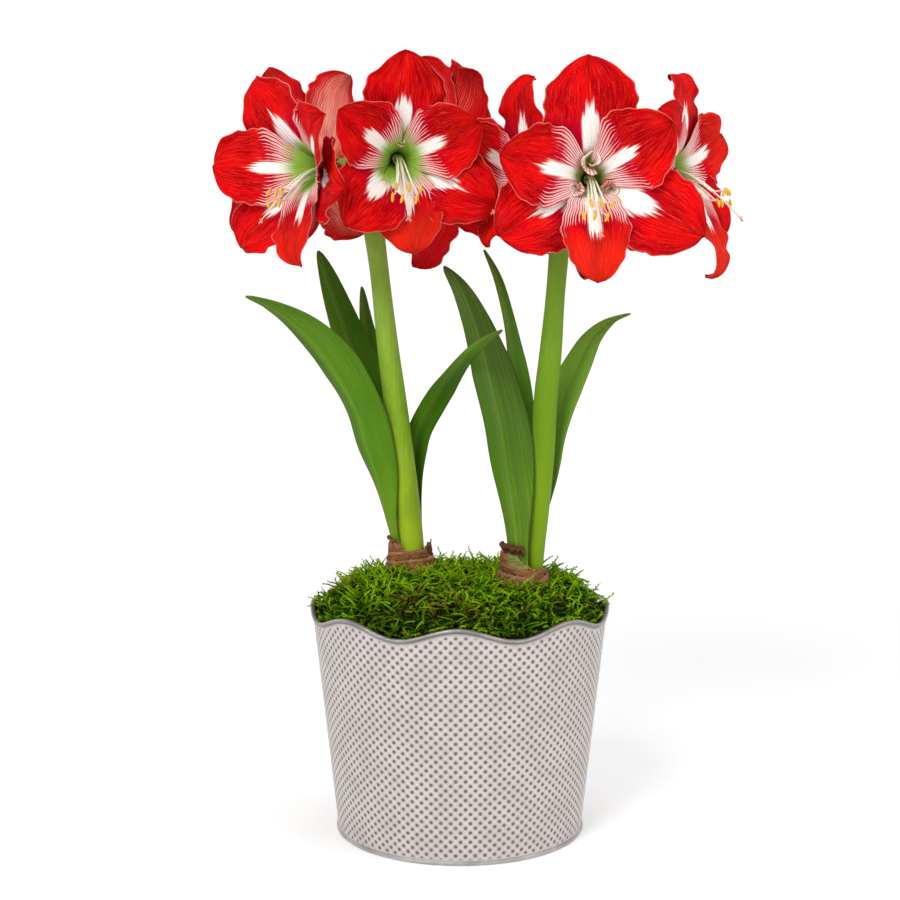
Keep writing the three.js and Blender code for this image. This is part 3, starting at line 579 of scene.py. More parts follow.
def moss_paint():
    paint = Paint("moss", roughness=0.6, specular=0.04)
    t, _, _ = paint.values("place")
    tint, shade, bed = paint.values("kind")         # tint above 0.9 is scorched brown
    x, y, z = paint.position()
    fine = paint.noise(x * 0.9, y * 0.9, z * 0.9, 3.0)
    # painted shade: the bed under the strands is nearly black, standing in for the shade in the gaps
    ground = paint.mix(fine.rise(0.35, 0.7), (0.006, 0.008, 0.002), (0.03, 0.042, 0.004))
    paint.colour(paint.coats(
        (0.050, 0.21, 0.001),
        (tint.rise(0.0, 0.5), (0.20, 0.46, 0.002)),
        (tint.rise(0.5, 0.85), (0.40, 0.58, 0.005)),
        (tint.rise(0.9, 0.93), (0.21, 0.11, 0.02)),
        (t.rise(0.3, 1.0) * 0.5, (0.44, 0.68, 0.006)),
        # painted shade: strands low in the mat are darkened
        ((1.0 - shade) * 0.85, (0.006, 0.016, 0.001)),
        (bed, ground)))
    paint.bump(fine, 1.0)
    return paint.material


def soil_paint():
    paint = Paint("compost", roughness=0.95, specular=0.2)
    x, y, z = paint.position()
    crumb = paint.noise(x * 0.4, y * 0.4, z * 0.4, 5.0, 0.7)
    paint.colour(paint.mix(crumb.rise(0.35, 0.7), (0.012, 0.008, 0.005), (0.09, 0.055, 0.03)))
    paint.bump(crumb, 2.0)
    return paint.material


def spathe_paint():
    paint = Paint("spathe", roughness=0.65, specular=0.12)
    u, _, x = paint.values("place")
    _, seed, _ = paint.values("kind")
    streak = paint.noise(x * 1.6 + seed * 5.0, u * 2.0, seed, 4.0, 0.65)
    brown = paint.mix(streak.rise(0.3, 0.7), (0.16, 0.075, 0.03), (0.46, 0.30, 0.16))
    paint.colour(paint.mix(u.rise(0.25, 0.0), brown, (0.30, 0.33, 0.09)))
    paint.bump(streak, 0.5)
    return paint.material


# The embossed sheet was rolled into a cone, so its diamond lattice is regular on the unrolled cone.
CONE_SINE = math.sin(math.atan((POT_RIM_R - POT_BASE_R) / POT_RIM_Z))
DENT_PITCH = 7.1
DENT_R = 2.1
DENT_DEPTH = 0.6
DENT_CLEAR = 2.6               # plain margin under the rim and above the foot


def pot_paint():
    paint = Paint("pot_metal", specular=0.5)
    x, y, z = paint.position()
    bead, near_edge, shaded = paint.values("kind")
    angle = paint.math("ARCTAN2", x, y * -1.0)
    slant = (z * ((POT_RIM_R - POT_BASE_R) / POT_RIM_Z) + POT_BASE_R) / CONE_SINE
    across = slant * paint.math("SINE", angle * CONE_SINE) / DENT_PITCH
    along = slant * paint.math("COSINE", angle * CONE_SINE) / DENT_PITCH
    spans = []
    for shift in (0.0, 0.5):
        p, q = (paint.math("PINGPONG", value + shift, 0.5) for value in (across, along))
        spans.append(paint.math("SQRT", p * p + q * q) * DENT_PITCH)
    from_dent = spans[0].least(spans[1])            # millimetres from the middle of the nearest dent
    dent = (1.0 - from_dent.rise(0.5, DENT_R)) * (1.0 - near_edge)
    ridge = from_dent.rise(DENT_R, DENT_R + 0.9)
    grime = paint.noise(x * 0.05, y * 0.05, z * 0.05, 3.0, 0.55)
    fine = paint.noise(x * 1.7, y * 1.7, z * 1.7, 3.0, 0.6)
    zinc = paint.mix(grime.rise(0.35, 0.65), (0.27, 0.25, 0.24), (0.40, 0.38, 0.37))
    paint.colour(paint.coats(
        (0.46, 0.413, 0.388),
        (grime.rise(0.3, 0.7), (0.53, 0.48, 0.454)),
        # painted highlight: the sheet between the dents, where it stands highest, is lighter; the fine share
        # is random tone
        (ridge * 0.3 + fine.rise(0.5, 0.75) * 0.2, (0.72, 0.685, 0.67)),
        (dent.rise(0.15, 0.75) * (0.75 + grime * 0.2), (0.085, 0.072, 0.065)),
        (bead, zinc),
        # painted shade: under the rim bead and round the bead's lower side
        (shaded * 0.85, (0.075, 0.068, 0.062))))
    paint.feed(paint.shader.inputs["Metallic"], 0.2 + bead * 0.45)
    paint.roughness(0.46 - bead * 0.12 + fine * 0.1)
    paint.bump(fine * 0.12 - dent + ridge * 0.3, 0.4)
    return paint.material


# ---- pot and compost
def pot_radius(z):
    return lerp(POT_BASE_R, POT_RIM_R, z / POT_RIM_Z)


def rim_height(angle):
    return POT_RIM_Z + RIM_WAVE * np.cos(RIM_LOBES * (angle - RIM_TURN))


def around(angle, radius, z):
    return triple(radius * np.sin(angle), -radius * np.cos(angle), z)


def dent_depth(angle, z):
    """Depth of the embossed dents, 0 to 1, on the outside of the wall."""
    slant = pot_radius(z) / CONE_SINE
    turned = (angle + math.pi) % (2 * math.pi) - math.pi
    across = slant * np.sin(turned * CONE_SINE) / DENT_PITCH
    along = slant * np.cos(turned * CONE_SINE) / DENT_PITCH
    spans = [np.hypot(across + s - np.round(across + s), along + s - np.round(along + s)) for s in (0, 0.5)]
    return 1 - ease((np.minimum(*spans) * DENT_PITCH - 0.35) / (DENT_R - 0.35))


def make_pot(material):
    """The shell from the middle of its underside, up the outside, over the rim and down the inside."""
    columns, rows, wall = 560, 146, 1.5
    flare_z = 140                  # above this the rows of the wall bend with the waves of the rim
    angle = circle(columns)
    top = rim_height(angle)
    rings, kinds = [], []

    def ring(radius, z, bead, plain=1.0, shaded=0.0):
        rings.append(around(angle, radius, z))
        kinds.append(triple(bead + 0 * angle, plain, shaded))

    ring(POT_BASE_R - 2, 0, 0.7)
    for x, z in map(cos_sin, np.linspace(-80, 80, 9)):
        ring(POT_BASE_R + FOOT_BEAD * x, 1.7 + 1.7 * z, 0.7)
    for share in np.linspace(0, 1, rows):
        level = lerp(3.7, POT_RIM_Z - RIM_BEAD_R, share)
        z = level + (top - POT_RIM_Z) * ease((level - flare_z) / 30)
        margin = np.minimum(top - RIM_BEAD_R - z, z - 2)
        plain = 1 - ease((margin - DENT_CLEAR + 1.5) / 2.5)
        # painted shadow: the wall is darkened in a thin band just under the rim bead
        shadow_under_bead = 1 - ease((top - RIM_BEAD_R - z) / 1.8)
        pressed = DENT_DEPTH * dent_depth(angle, z) * (1 - plain)
        ring(pot_radius(z) - pressed, z, 0.0, plain, shadow_under_bead * 0.8)
    for turn in np.linspace(-60, 240, 16):
        x, z = cos_sin(turn)
        # painted highlight and shade: the bead is lighter on its upper outer side and darker round the rest
        lit = math.exp(-((turn - 25) / 32) ** 2)
        ring(POT_RIM_R + RIM_BEAD_R * x, top + RIM_BEAD_R * z, 1.0, 1.0, 0.7 * (1 - lit))
    for z in (162, 150, 80, 1.6):
        ring(pot_radius(z) - wall, z, 0.4)
    shape = Shape()
    shape.shell(rings, kind=kinds)
    shape.make("pot_shell", ["pot"], material)


# ---- moss
def moss_height(x, y):
    share = np.hypot(x, y) / MOSS_R
    crest = lerp(MOSS_CREST - 5, MOSS_EDGE - 2, np.clip(share, 0, 1) ** 9) - 4 * share ** 2
    bumps = np.sin(x * 0.11 + 1.3) * np.sin(y * 0.13 + 0.4) + 0.7 * np.sin(x * 0.21 - y * 0.17 + 2.1)
    return crest + 2.4 * bumps * (1 - share ** 6)


def from_neck(plant, x, y):
    """Distance from the side of a plant's neck, seen from above."""
    return np.hypot(x - plant["bulb"][0], y - plant["bulb"][1]) - plant["neck"]


def make_moss(material):
    """The bed over the compost, and the strands that stand on its front and back halves."""
    rows, columns = 60, 180
    angle, radius = circle(columns), np.linspace(0.5, MOSS_R, rows)[:, None]
    x, y = radius * np.sin(angle), -radius * np.cos(angle)
    z = moss_height(x, y) + 1.3 * np.sin(x * 0.9) * np.sin(y * 1.1) - 2
    for plant in PLANTS.values():
        z = z - 12 * (1 - ease(from_neck(plant, x, y) / 6))
    bed = Shape()
    bed.add(triple(x, y, z), grid_faces(rows, columns, wrap=True), kind=(0.3, 0.5, 1))
    bed.make("moss_bed", ["moss"], material)
    for half, name in enumerate(("moss_strands_front", "moss_strands_back")):
        make_strands(name, half, material)


def make_strands(name, half, material):
    """Branching moss over one half of the mound: curved strands with small pointed leaves."""
    random = np.random.default_rng(41 + half)
    count, steps = STRANDS, STRAND_STEPS
    turn = random.uniform(-math.pi / 2, math.pi / 2, 2 * count) + half * math.pi
    away = MOSS_R * random.uniform(0, 1, 2 * count) ** 0.5 * 0.985
    x, y = away * np.sin(turn), -away * np.cos(turn)
    free = np.all([from_neck(plant, x, y) > 1.5 for plant in PLANTS.values()], axis=0)
    x, y, turn, away = (values[free][:count] for values in (x, y, turn, away))
    ground = moss_height(x, y)

    # The strands head every way, but some near the pot's edge lean out over the rim.
    over_rim = (away > 0.9 * MOSS_R) & (random.uniform(0, 1, count) < 0.14)
    outward = turn - math.pi / 2 + random.normal(0, 0.5, count)
    heading = np.where(over_rim, outward, random.uniform(0, 2 * math.pi, count))
    pitch = np.radians(np.where(over_rim, random.uniform(25, 55, count), random.uniform(-5, 70, count)))
    curl = random.normal(0, 0.55, count)
    sag = random.uniform(0.0, 0.6, count)
    length = random.uniform(9, 21, count)
    size = random.uniform(0.7, 1.15, count)
    reach = MOSS_R + np.where(over_rim, 10, 2.5)
    point = triple(x, y, ground - random.uniform(1, 5, count))
    path, ways = [point], []
    for _ in range(steps):
        way = triple(np.cos(heading) * np.cos(pitch), np.sin(heading) * np.cos(pitch), np.sin(pitch))
        point = point + way * (length / steps)[:, None]
        point[:, :2] *= np.minimum(1, reach / np.hypot(point[:, 0], point[:, 1]))[:, None]
        rim = rim_height(np.arctan2(point[:, 0], -point[:, 1])) + RIM_BEAD_R
        outside = np.hypot(point[:, 0], point[:, 1]) > POT_RIM_R - RIM_BEAD_R - 2.5
        point[:, 2] = np.where(outside, np.maximum(point[:, 2], rim + 1.5), point[:, 2])
        path.append(point)
        ways.append(way)
        heading, pitch = heading + curl, pitch - sag
    path, ways = np.array(path), np.array([*ways, ways[-1]])
    side = unit(np.cross(ways, (0, 0, 1.0)))
    top = np.cross(side, ways)

    # Strands deep in the mat are painted dark as shade, patches of it are yellower, and two spots are
    # scorched.
    shade = np.clip(0.28 + (path[..., 2] - ground) / 7, 0, 1)
    patch = 0.5 + 0.5 * np.sin(x * 0.055 + 1) * np.sin(y * 0.07 + 2)
    tint = np.clip(random.normal(0.45, 0.2, count) + 0.25 * (patch - 0.5), 0, 0.88)
    scorched = 0.03
    for middle_x, middle_y, share, spread in SCORCHED:
        scorched = scorched + share * np.exp(-((x - middle_x) ** 2 + (y - middle_y) ** 2) / spread)
    tint = np.where(random.uniform(0, 1, count) < scorched, 1.0, tint)

    shape = Shape()
    taper = np.array([1.0, 1.0, 0.9, 0.75, 0.5, 0.15])[:, None, None]
    rings = np.stack([path + taper * size[None, :, None] * (math.cos(a) * side + math.sin(a) * top)
                      for a in (0.5, 2.6, 4.7)], axis=2)                 # steps, strands, sides
    index = np.arange((steps + 1) * count * 3).reshape(steps + 1, count, 3)
    across = np.roll(index, -1, axis=2)
    walls = np.stack([index[:-1], index[1:], across[1:], across[:-1]], axis=-1).reshape(-1, 4)
    share = np.linspace(0, 1, steps + 1)[:, None, None]
    shape.add(rings, walls, triple(share, np.zeros((count, 3)), 0.0),
              triple(tint[:, None], shade[:, :, None], np.zeros(3)))
    shape.faces += [index[0], index[-1][:, ::-1]]

    # Small leaves, alternately on either side of each strand, each a thin closed sliver.
    for k, t in enumerate(np.linspace(0.12, 0.98, LEAFLETS) * steps):
        i = min(int(t), steps - 1)
        root = lerp(path[i], path[i + 1], t - i)
        forward = ways[i]
        hand = side[i] if k % 2 else -side[i]
        lift = random.uniform(-0.35, 0.7, count)[:, None] * top[i]
        span = (random.uniform(2.6, 4.8, count) * (1 - 0.45 * t / steps))[:, None]
        tip = root + span * unit(0.7 * hand + 0.75 * forward + lift)
        bulge = root + 0.6 * hand + 0.6 * top[i]
        points = np.stack([root - 0.95 * forward, root + 0.95 * forward, bulge, tip], axis=1)
        kinds = np.repeat(triple(tint, np.clip(shade[i] + 0.12, 0, 1), 0.0)[:, None], 4, axis=1)
        along = np.array([0.2, 0.2, 0.3, 1.0]) * 0.6 + 0.4 * t / steps
        corner = 4 * np.arange(count)[:, None, None] + np.array([(0, 1, 3), (1, 2, 3), (2, 0, 3), (0, 2, 1)])
        shape.add(points, corner.reshape(-1, 3), triple(along, np.zeros((count, 4)), 0.0), kinds)
    shape.make(name, ["moss"], material)


# ---- bulbs
def mouth_at(mouth, angle):
    """Radius and height of a neck's torn mouth at compass angles in radians."""
    turn = np.degrees(angle + math.pi) % 360 - 180
    bearings, radii, heights = np.array(mouth, float).T
    after = np.clip(np.searchsorted(bearings, turn), 1, len(bearings) - 1)
    share = ease((turn - bearings[after - 1]) / (bearings[after] - bearings[after - 1]))
    return lerp(radii[after - 1], radii[after], share), lerp(heights[after - 1], heights[after], share)


def neck_radius(plant, angle, z):
    """Radius of the bulb and its neck at a compass angle and a height."""
    neck = plant["neck"]
    radius, height = mouth_at(plant["mouth"], angle)
    levels = [86, 92, 104, 122, 142, 160, 174, NECK_Z]
    low = np.interp(z, levels, [14, 30, 38, 41, 37, neck + 10, neck + 2.5, neck])
    share = np.clip((z - NECK_Z) / (height - NECK_Z), 0, 1)
    return np.where(z < NECK_Z, low, lerp(neck, radius, share))


def make_bulb(side, olive, bands, material, seed):
    """The bulb's skin up to its mouth, then papery bands and a curled scrap of old tunic round the neck."""
    random = np.random.default_rng(seed)
    plant = PLANTS[side]
    middle = (*plant["bulb"], 0)
    neck = plant["neck"]
    shape = Shape()

    def ragged(angle, sizes):
        return sum(size * np.sin(turns * angle + random.uniform(0, 2 * math.pi)) for turns, size in sizes)

    angle = circle(150)
    radius, height = mouth_at(plant["mouth"], angle)
    brim = height + ragged(angle, [(5, 0.7), (11, 0.5), (19, 0.4), (37, 0.25)])
    crease = ragged(angle, [(7, 0.25), (13, 0.2)])
    levels = [z + 0 * angle for z in (86.0, 92.0, 104.0, 122.0, 142.0, 160.0)]
    levels += [lerp(168, brim, t) for t in np.linspace(0, 1, 16)]
    rings = [around(angle, neck_radius(plant, angle, z) + (crease if z[0] > 165 else 0), z) for z in levels]
    rings += [around(angle, radius - inset, z) for inset, z in ((0.7, brim + 0.1), (1.2, brim - 3))]
    rings += [around(angle, neck - 2.6, CUP_Z)]
    rings = np.array(rings) + middle
    turn = np.degrees(angle + math.pi) % 360 - 180
    green = ease((turn - olive[0]) / 8) * ease((olive[1] - turn) / 5)
    edge = np.concatenate([np.zeros(len(levels) - 2), [0.3], [0.9] * 3, [0.2]])[:, None]
    shape.shell(rings, triple(rings[..., 2], turn * math.radians(neck), edge),
                triple(green, 0.5, np.zeros((len(rings), 1))))

    def band(start, end, top_start, top_end, depth, gap, torn, dark, roll=0.0):
        """One wrap between two compass angles, which follows the neck. roll curls its top outward."""
        columns, rows = 60, 16 if roll else 8
        s = np.linspace(0, 1, columns)[:, None]
        t = np.linspace(0, 1, rows)[None, :]
        a = np.radians(lerp(start, end, s))
        top = lerp(top_start, top_end, s) + torn * ragged(a, [(23, 0.5), (41, 0.35), (67, 0.25)])
        out = gap * ease(s / 0.12) * ease((1 - s) / 0.12) + 0.15
        out = out + 0.22 * np.sin(5.0 * t + ragged(a, [(6, 2.0)])) * t
        z = top - depth * (1 - t)
        if roll:
            size = roll * (1 + 0.25 * ragged(a, [(17, 0.6), (31, 0.5)]))
            curl = math.pi * (1 - 1.6 * np.clip((t - 0.35) / 0.65, 0, 1))
            z = np.where(t < 0.35, top - size - depth * (1 - t / 0.35), top - size + size * np.sin(curl))
            out = out + np.where(t < 0.35, 0, size * (1 + np.cos(curl)))
        grid = around(a, neck_radius(plant, a, z) + out, z) + middle
        place = triple(z - top, a * neck, np.maximum(t, np.abs(2 * s - 1) ** 6))
        shape.blade(grid, 0.5, place, (0.0, random.uniform(), dark))

    for spec in bands:
        band(*spec)
    shape.make("tunic_" + side, ["bulb_" + side], material)


# ---- leaves, spathes and scapes
def strap_grid(spec, rows, columns):
    """A leaf or spathe: its grid and, per point, share of the length, place across, and mm from the keel."""
    root, half, face, fold, keel, line = spec
    spine = smooth_line(line, rows)[:, None, :]
    u = np.linspace(0, 1, rows)[:, None]
    v = np.linspace(-1, 1, columns)[None, :]
    along = unit(np.gradient(spine, axis=0))
    look = np.radians(lerp(face[0], face[1], ease(u)))
    width = triple(np.cos(look), np.sin(look), 0.0)
    width = unit(width - along * np.sum(along * width, axis=-1, keepdims=True))
    outward = np.cross(width, along)
    taper = np.minimum(1, 1.9 * np.clip(1 - u, 0, 1) ** 0.64 + 0.04)
    reach = lerp(root, half, ease((u - 0.1) / 0.35)) * taper
    bent = np.sqrt((v - keel) ** 2 + 0.006) - math.sqrt(keel ** 2 + 0.006)
    ripple = np.abs(v) * 0.8 * np.sin(17 * u + 2 * v)
    dip = ease(u / 0.25) * (bent * fold * reach * (1 - 0.3 * u) + ripple)
    grid = spine + width * (v * reach)[..., None] - outward * dip[..., None]
    return grid, triple(u, v, (v - keel) * reach)


def make_straps(specs, rows, columns, thickness, material, start_seed):
    for i, (name, spec) in enumerate(specs.items()):
        shape = Shape()
        grid, place = strap_grid(spec, rows, columns)
        v = np.linspace(-1, 1, columns)[None, :]
        depth = thickness * (0.35 + 0.65 * (1 - v * v)) * np.ones((rows, 1))
        shape.blade(grid, depth, place, (1, (start_seed + i * 0.37) % 1, TONES.get(name, 0.0)))
        shape.make(name + "_blade", [name], material)


def bloom_frame(bloom, rolled=True):
    """The axes of a bloom, the last along the way it faces, and the point where its base sits."""
    level, lifted = cos_sin(bloom.tilt)
    axis = compass(bloom.facing) * level + (0, 0, lifted)
    up = unit(np.array((0, 0, 1.0)) - axis * axis[2])
    if rolled:
        cosine, sine = cos_sin(bloom.roll)
        up = up * cosine + np.cross(axis, up) * sine
    origin = np.array(PLANTS[bloom.plant]["top"], float) + compass(bloom.bearing) * bloom.reach
    return np.array([np.cross(up, axis), up, axis]), origin + (0, 0, bloom.rise)


def place_in(axes_and_origin, points):
    axes, origin = axes_and_origin
    return points @ axes + origin


def make_scape(side, material):
    """The scape, and a pedicel with its ovary to each bloom of the umbel."""
    shape = Shape()
    line = smooth_line(SCAPES[side], 70)
    shape.tube(line[:, :3], line[:, 3], 40)
    top = np.array(PLANTS[side]["top"], float)
    for bloom in BLOOMS.values():
        if bloom.plant != side:
            continue
        out = compass(bloom.bearing)
        axes = bloom_frame(bloom)
        behind = [place_in(axes, np.array((0, 0, -d))) for d in (OVARY_LEN + 12, OVARY_LEN, 6.3, 0.3)]
        a, b, c, d = top + out * 2, top + out * 6 + (0, 0, 14), behind[0], behind[1]
        t = np.linspace(0, 1, 14)[:, None]
        stalk = a * (1 - t) ** 3 + 3 * b * t * (1 - t) ** 2 + 3 * c * t ** 2 * (1 - t) + d * t ** 3
        path = smooth_line([*stalk[::3], *behind[2:]], 26)
        share = np.linspace(0, 1, len(path))
        shape.tube(path, np.interp(share, [0, 0.25, 0.55, 0.72, 0.88, 1], [4.2, 3.7, 3.5, 4.0, 6.0, 5.0]), 18)
    shape.make("stem_" + side, ["scape_" + side], material)


# ---- blooms
def spokes(degrees):
    """Unit vectors of a bloom's own frame, out from its axis at an angle and sideways from there."""
    cosine, sine = cos_sin(degrees)
    return np.array((cosine, sine, 0)), np.array((-sine, cosine, 0))


def tepal_grid(tepal, inner, random, rows=46, columns=25):
    """One tepal in the bloom's own frame: its grid, its thickness and its values for the paint."""
    angle, length, half, flare, hook, _, hook_start = tepal

    # The midrib, as its distance r from the axis and its height a, from how far out it leans.
    steps = 160
    s = np.linspace(0, 1, steps + 1)
    lean = lerp(14, flare, ease(s / 0.55)) + (14 if inner else 18) * ease((s - 0.7) / 0.3) ** 1.3
    lean = np.radians(lean + hook * np.clip((s - hook_start) / (1 - hook_start), 0, 1) ** 1.5)
    r = TUBE_R - (1.6 if inner else 0) + np.concatenate([[0], np.cumsum(np.sin(lean[1:]))]) * length / steps
    a = np.concatenate([[0], np.cumsum(np.cos(lean[1:]))]) * length / steps
    u = np.linspace(0, 1, rows)[:, None] ** 0.9
    even = np.linspace(-1, 1, columns)[None, :]
    v = np.sin(even * math.pi / 2) * 0.5 + even * 0.5
    r, a, lean = (np.interp(u, s, values) for values in (r, a, lean))

    # The outline: x is how far a point is from the midrib.
    phase = random.uniform(0, 1, 10)
    outline = (np.maximum(u, 1e-6) / 0.6) ** 1.25 * (np.clip(1 - u, 0, 1) / 0.4) ** (0.75 if inner else 0.8)
    ragged = 1 + 0.035 * wave(3.1 * u + phase[0]) + 0.025 * wave(8.3 * u + phase[1])
    x = v * np.minimum(half * outline * ragged + 3.4 * (1 - u) ** 2 + 0.5, r)

    # The tepal wraps round the axis at its base and opens outward. Ruffles, groove and beak lift it.
    opened = (0.2 if inner else 0.6) * ease((u - 0.12) / 0.3)
    curve = np.maximum(np.cos(lean) * (1 - opened), 0.02) / r
    turn = np.clip(curve * x, -1.5, 1.5)
    limb = ease((u - 0.3) / 0.4)
    hand = np.where(v > 0, 0.37, 0.0)
    edge = np.abs(v)
    fade = np.sqrt(np.clip(1.15 - u, 0, None))
    ruffle = 2.9 * limb * edge ** 2.2 * fade * wave(2.6 * u + phase[2] + hand)
    ruffle = ruffle + 1.7 * limb * edge ** 4 * fade * wave(6.2 * u + phase[3] + 2 * hand)
    ruffle = ruffle + 1.1 * limb * wave(0.9 * u + 0.5 * v + phase[4]) * edge
    raised = 3.2 * ease((u - 0.06) / 0.3) if inner else 0
    groove = -0.9 * np.exp(-(x / 2.2) ** 2) * ease((u - 0.1) / 0.2) * (1 - ease((u - 0.75) / 0.2))
    beak = 0.3 * np.abs(x) * ease((u - 0.78) / 0.2)
    lift = (1 - np.cos(turn)) / curve + ruffle + raised + groove + beak
    across = np.sin(turn) / curve
    radial, sideways = spokes(angle)
    grid = radial * (r - lift * np.cos(lean))[..., None] + sideways * across[..., None]
    grid[..., 2] += a + lift * np.sin(lean)
    return grid, 0.8 - 0.45 * edge ** 2, triple(u, v, x)


def lobe_grid(angle, away, ahead, curl, half, tone):
    """A small petal-like lobe rolled up in front of the throat, so that its spiral end shows."""
    s, v = np.linspace(0, 1, 30)[:, None], np.linspace(-1, 1, 7)[None, :]
    turn = np.radians(200 - 430 * s)
    ruffle = 0.07 * np.sin(13 * s + angle) + 0.05 * np.sin(29 * s + 2 * angle)
    spiral = curl * (1 - 0.62 * s) * (1 + 0.28 * v + ruffle * (1 + v))
    radial, sideways = spokes(angle)
    r = away + spiral * np.cos(turn)
    grid = radial * r[..., None] + sideways * (spiral * np.sin(turn))[..., None]
    grid[..., 2] += ahead + half * v * (1 - 0.3 * s) + 1.2 * np.sin(7 * s + angle)
    return grid, triple(tone + 0.08 * v, 2 * s - 1, 20.0)


def make_bloom(name, bloom, material, seed):
    """Six tepals and any lobes of the throat, grown together at the tube."""
    random = np.random.default_rng(seed)
    shape = Shape()
    axes = bloom_frame(bloom)
    green = THROAT_GREEN.get(name, 0.35)
    for i, values in enumerate(bloom.tepals):
        tepal, inner = Tepal(*values), i > 2
        grid, thickness, place = tepal_grid(tepal, inner, random)
        kind = (1 + green / 10, (1.0 if inner else 0.0) + tepal.white / 10, random.uniform(0, 1))
        shape.blade(place_in(axes, grid), thickness, place, kind)
    angle = circle(24)
    tube = np.array([triple(r * np.cos(angle), r * np.sin(angle), h) for r, h in
                     [(4.2, 0.3), (TUBE_R, 0.4), (TUBE_R + 1.0, PLUG_H), (0.3, PLUG_H)]])
    shape.shell(place_in(axes, tube), (0.02, 0, 0), (1, 0, 0.5))
    for lobe in LOBES.get(name, ()):
        grid, place = lobe_grid(*lobe)
        shape.blade(place_in(axes, grid), 0.6, place, (1, 1.09, random.uniform(0, 1)))
    shape.make("flower_" + name, ["bloom_" + name], material)


def make_stamens(name, bloom, material, seed):
    """Six filaments with anthers and the style with its three-part stigma, on one base ring."""
    random = np.random.default_rng(seed)
    shape = Shape()
    axes = bloom_frame(bloom, rolled=False)
    right, up = axes[0][:2]
    grown = bloom.grown
    base = PLUG_H + 0.3
    t = np.linspace(0, 1, 26)
    for k in range(7):
        style = k == 6
        spread = 0 if style else (k - 2.5) / 2.5 + random.uniform(-0.12, 0.12)
        reach = grown * (STYLE_REACH if style else FILAMENT_REACH + 5 * random.uniform())
        drop = grown * (38 if style else 29 + (-3 if k % 2 else 5) + 2 * random.uniform())
        upturn = 0 if style else 9 * grown
        x = grown * spread * (2 + 8 * t * t)
        y = ((-1.2 if style else 2 if k % 2 else -2) * (1 - t) - drop * (1 - np.cos(t * math.pi / 2)) ** 0.9
             + upturn * ease((t - 0.72) / 0.28))
        path = place_in(axes, triple(x, y, base + 2 + reach * t ** 0.8))
        shape.tube(path, np.interp(t, [0, 0.1, 1], [1.2, 0.8, 0.55]), 8, (0, random.uniform(), 0))
        tip, way = path[-1], unit(path[-1] - path[-3])
        if style:
            s = np.linspace(0, 1, 6)[:, None]
            for cosine, sine in map(cos_sin, (90, 210, 330)):
                out = right * cosine + up * sine
                stigma = tip + s * way * 2.2 + s ** 1.5 * out * 2.4
                shape.tube(stigma, [0.7, 0.7, 0.65, 0.6, 0.5, 0.3], 6, (2, 0.5, 0))
        else:
            hang = unit(up * random.uniform(0.7, 1) + way * random.uniform(-0.5, 0.5)
                        + right * random.uniform(-0.4, 0.4))
            s = np.linspace(-1, 1, 9)
            anther = tip + hang * s[:, None] * 3.6 * grown + way * (1 - s * s)[:, None] * 0.9
            shape.tube(anther, 1.15 * np.sqrt(np.clip(1.04 - s ** 2, 0.02, 1)), 8, (1, random.uniform(), 0))
    ring = place_in(axes, np.array([(0, 0, base), (0, 0, base + 1.5), (0, 0, base + 3)]))
    shape.tube(ring, [3.3, 3.2, 1.5], 16, (0, 0.5, 0))
    shape.make("threads_" + name, ["stamens_" + name], material)


# ---- build the pieces
petal, leaf, stem, stamen = petal_paint(), leaf_paint(), stem_paint(), stamen_paint()
make_pot(pot_paint())
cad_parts["soil"].data.materials.clear()
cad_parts["soil"].data.materials.append(soil_paint())
make_moss(moss_paint())
# Each bulb: compass angles of the olive skin, then the wraps of old tunic as (start and end in
# degrees, top at the start and at the end, depth, gap, tornness, darkness). The last one, which
# also has a radius, is a curled scrap.
tunic = tunic_paint()
make_bulb("left", (4, 42), [
    (-66, -30, 221, 216, 14, 0.9, 1.6, 0.25), (52, 84, 215, 219, 9, 0.7, 1.6, 0.7),
    (-78, 66, 209.5, 212.5, 6.5, 1.3, 0.5, 0.1), (-110, 100, 203, 207, 8, 0.9, 0.5, 0.0),
    (-95, 12, 200, 194, 12, 1.6, 0.5, 0.0), (-30, 120, 196, 203, 16, 1.3, 0.6, 0.15),
    (-130, 30, 194, 190, 14, 2.2, 0.8, 0.1), (80, 300, 207, 203, 22, 0.8, 1.2, 0.1),
    (150, 260, 210, 209, 14, 1.2, 1.5, 0.3), (-64, -44, 223, 220, 4, 0.8, 0.6, 0.5, 1.1)], tunic, 5)
make_bulb("right", (-48, 13), [
    (-70, 14, 211, 204.5, 5, 0.9, 0.4, 0.35), (-84, 30, 205, 199, 9, 1.3, 0.5, 0.25),
    (2, 104, 195, 203, 14, 1.6, 0.6, 0.3), (-112, 50, 199, 194, 14, 1.8, 0.6, 0.3),
    (30, 62, 203, 207, 8, 0.8, 1.4, 0.3), (-60, 100, 190, 196, 12, 2.4, 0.8, 0.1),
    (84, 300, 203, 204, 20, 0.8, 1.2, 0.1), (140, 250, 205, 208, 12, 1.2, 1.5, 0.3),
    (-60, 2, 226, 222.5, 5, 0.7, 1.0, 1.0, 1.9)], tunic, 8)
for side in PLANTS:
    make_scape(side, stem)
make_straps(LEAVES, 90, 17, 1.5, leaf, 0.13)
make_straps(SPATHES, 40, 9, 0.6, spathe_paint(), 0.41)
for number, (name, bloom) in enumerate(BLOOMS.items()):
    make_bloom(name, bloom, petal, 100 + number)
    make_stamens(name, bloom, stamen, 200 + number)


# ---- floor, light and camera
def stage_material():
    """White paper near the plant, which far away gives way to an even glow, so no horizon shows."""
    paint = Paint("studio_white", roughness=0.9, specular=0.1)
    x, y, _ = paint.position()
    away = paint.math("SQRT", x * x + y * y).rise(350.0, 1500.0)
    cloud = paint.noise(x * 0.002, y * 0.002, 0.0, 2.0)
    sheet = paint.mix(cloud, (0.90, 0.90, 0.90), (0.93, 0.93, 0.93))
    paint.colour(paint.mix(away, sheet, (0.0, 0.0, 0.0)))
    paint.shader.inputs["Emission Color"].default_value = (1, 1, 1, 1)
    paint.feed(paint.shader.inputs["Emission Strength"], away * 0.86 + 0.19)
    return paint.material


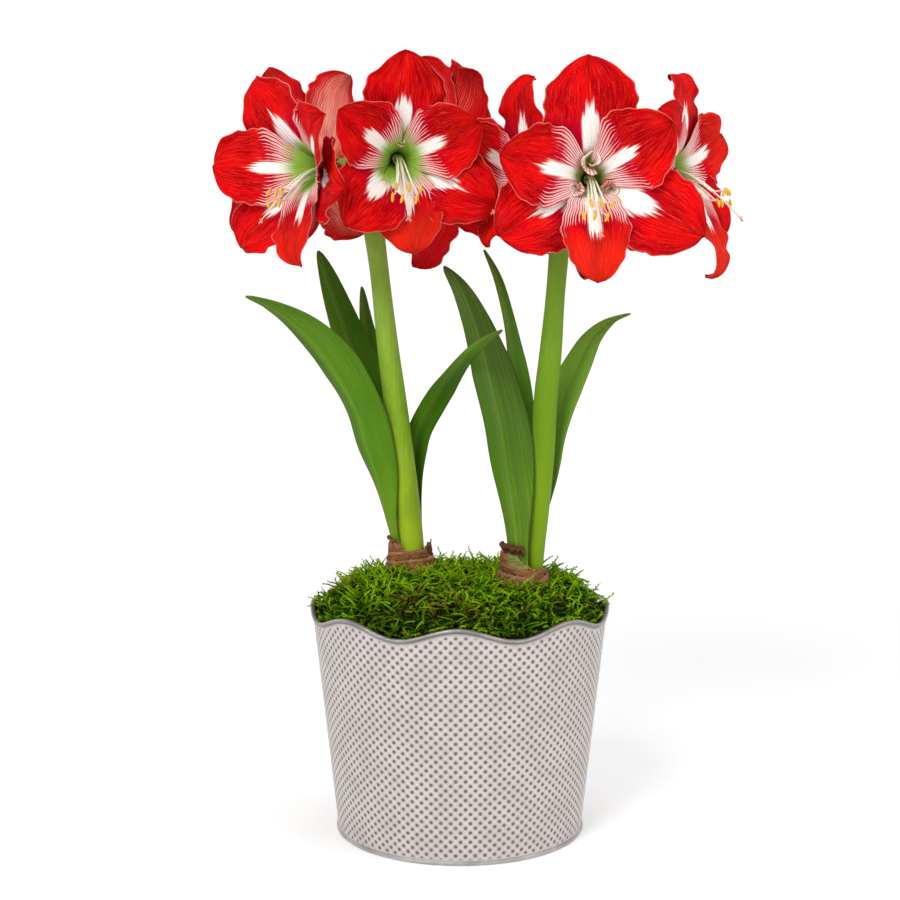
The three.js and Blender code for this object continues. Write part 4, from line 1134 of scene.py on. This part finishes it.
def make_stage():
    mesh = bpy.data.meshes.new("floor")
    half = 30.0
    corners = [(-half, -half, 0), (half, -half, 0), (half, half, 0), (-half, half, 0)]
    mesh.from_pydata(corners, [], [(0, 1, 2, 3)])
    mesh.materials.append(stage_material())
    floor = add_object("floor", mesh)


def add_light(name, place, target, size, watts):
    light = bpy.data.lights.new(name, "AREA")
    light.shape = "DISK"
    light.size = size
    light.energy = watts
    lamp = add_object(name, light)
    lamp.location = place
    direction = np.array(target, float) - np.array(place, float)
    lamp.rotation_euler = Vector(direction).to_track_quat("-Z", "Y").to_euler()


def make_world():
    """White round the horizon and dimmer overhead."""
    world = bpy.data.worlds.new("studio")
    world.use_nodes = True
    tree = world.node_tree
    split = tree.nodes.new("ShaderNodeSeparateXYZ")
    tree.links.new(tree.nodes.new("ShaderNodeTexCoord").outputs["Generated"], split.inputs[0])
    fall = tree.nodes.new("ShaderNodeMapRange")
    fall.interpolation_type = "SMOOTHSTEP"
    tree.links.new(split.outputs["Z"], fall.inputs["Value"])
    for socket, value in zip(("From Min", "From Max", "To Min", "To Max"), (0.24, 0.72, 1.04, 0.3)):
        fall.inputs[socket].default_value = value
    background = tree.nodes["Background"]
    background.inputs["Color"].default_value = (1, 1, 1, 1)
    tree.links.new(fall.outputs["Result"], background.inputs["Strength"])
    bpy.context.scene.world = world


def make_studio():
    make_stage()
    make_world()
    add_light("key", (-0.85, -1.65, 1.75), (0, 0, 0.35), 1.0, 30)
    add_light("fill", (1.5, -0.9, 0.9), (0, 0, 0.25), 1.2, 7)
    add_light("overhead", (0.3, 0.2, 2.2), (0, 0, 0.3), 1.6, 14)
    bpy.context.scene.view_settings.view_transform = "Standard"


def make_camera():
    """The camera as it was fitted to the photograph."""
    camera = bpy.data.cameras.new("camera")
    camera.sensor_width = 36.0
    camera.lens = CAMERA_LENS
    view = add_object("camera", camera)
    view.location = CAMERA_PLACE
    view.rotation_euler = (math.radians(90 - CAMERA_DOWN), 0, 0)
    bpy.context.scene.camera = view


make_studio()
make_camera()
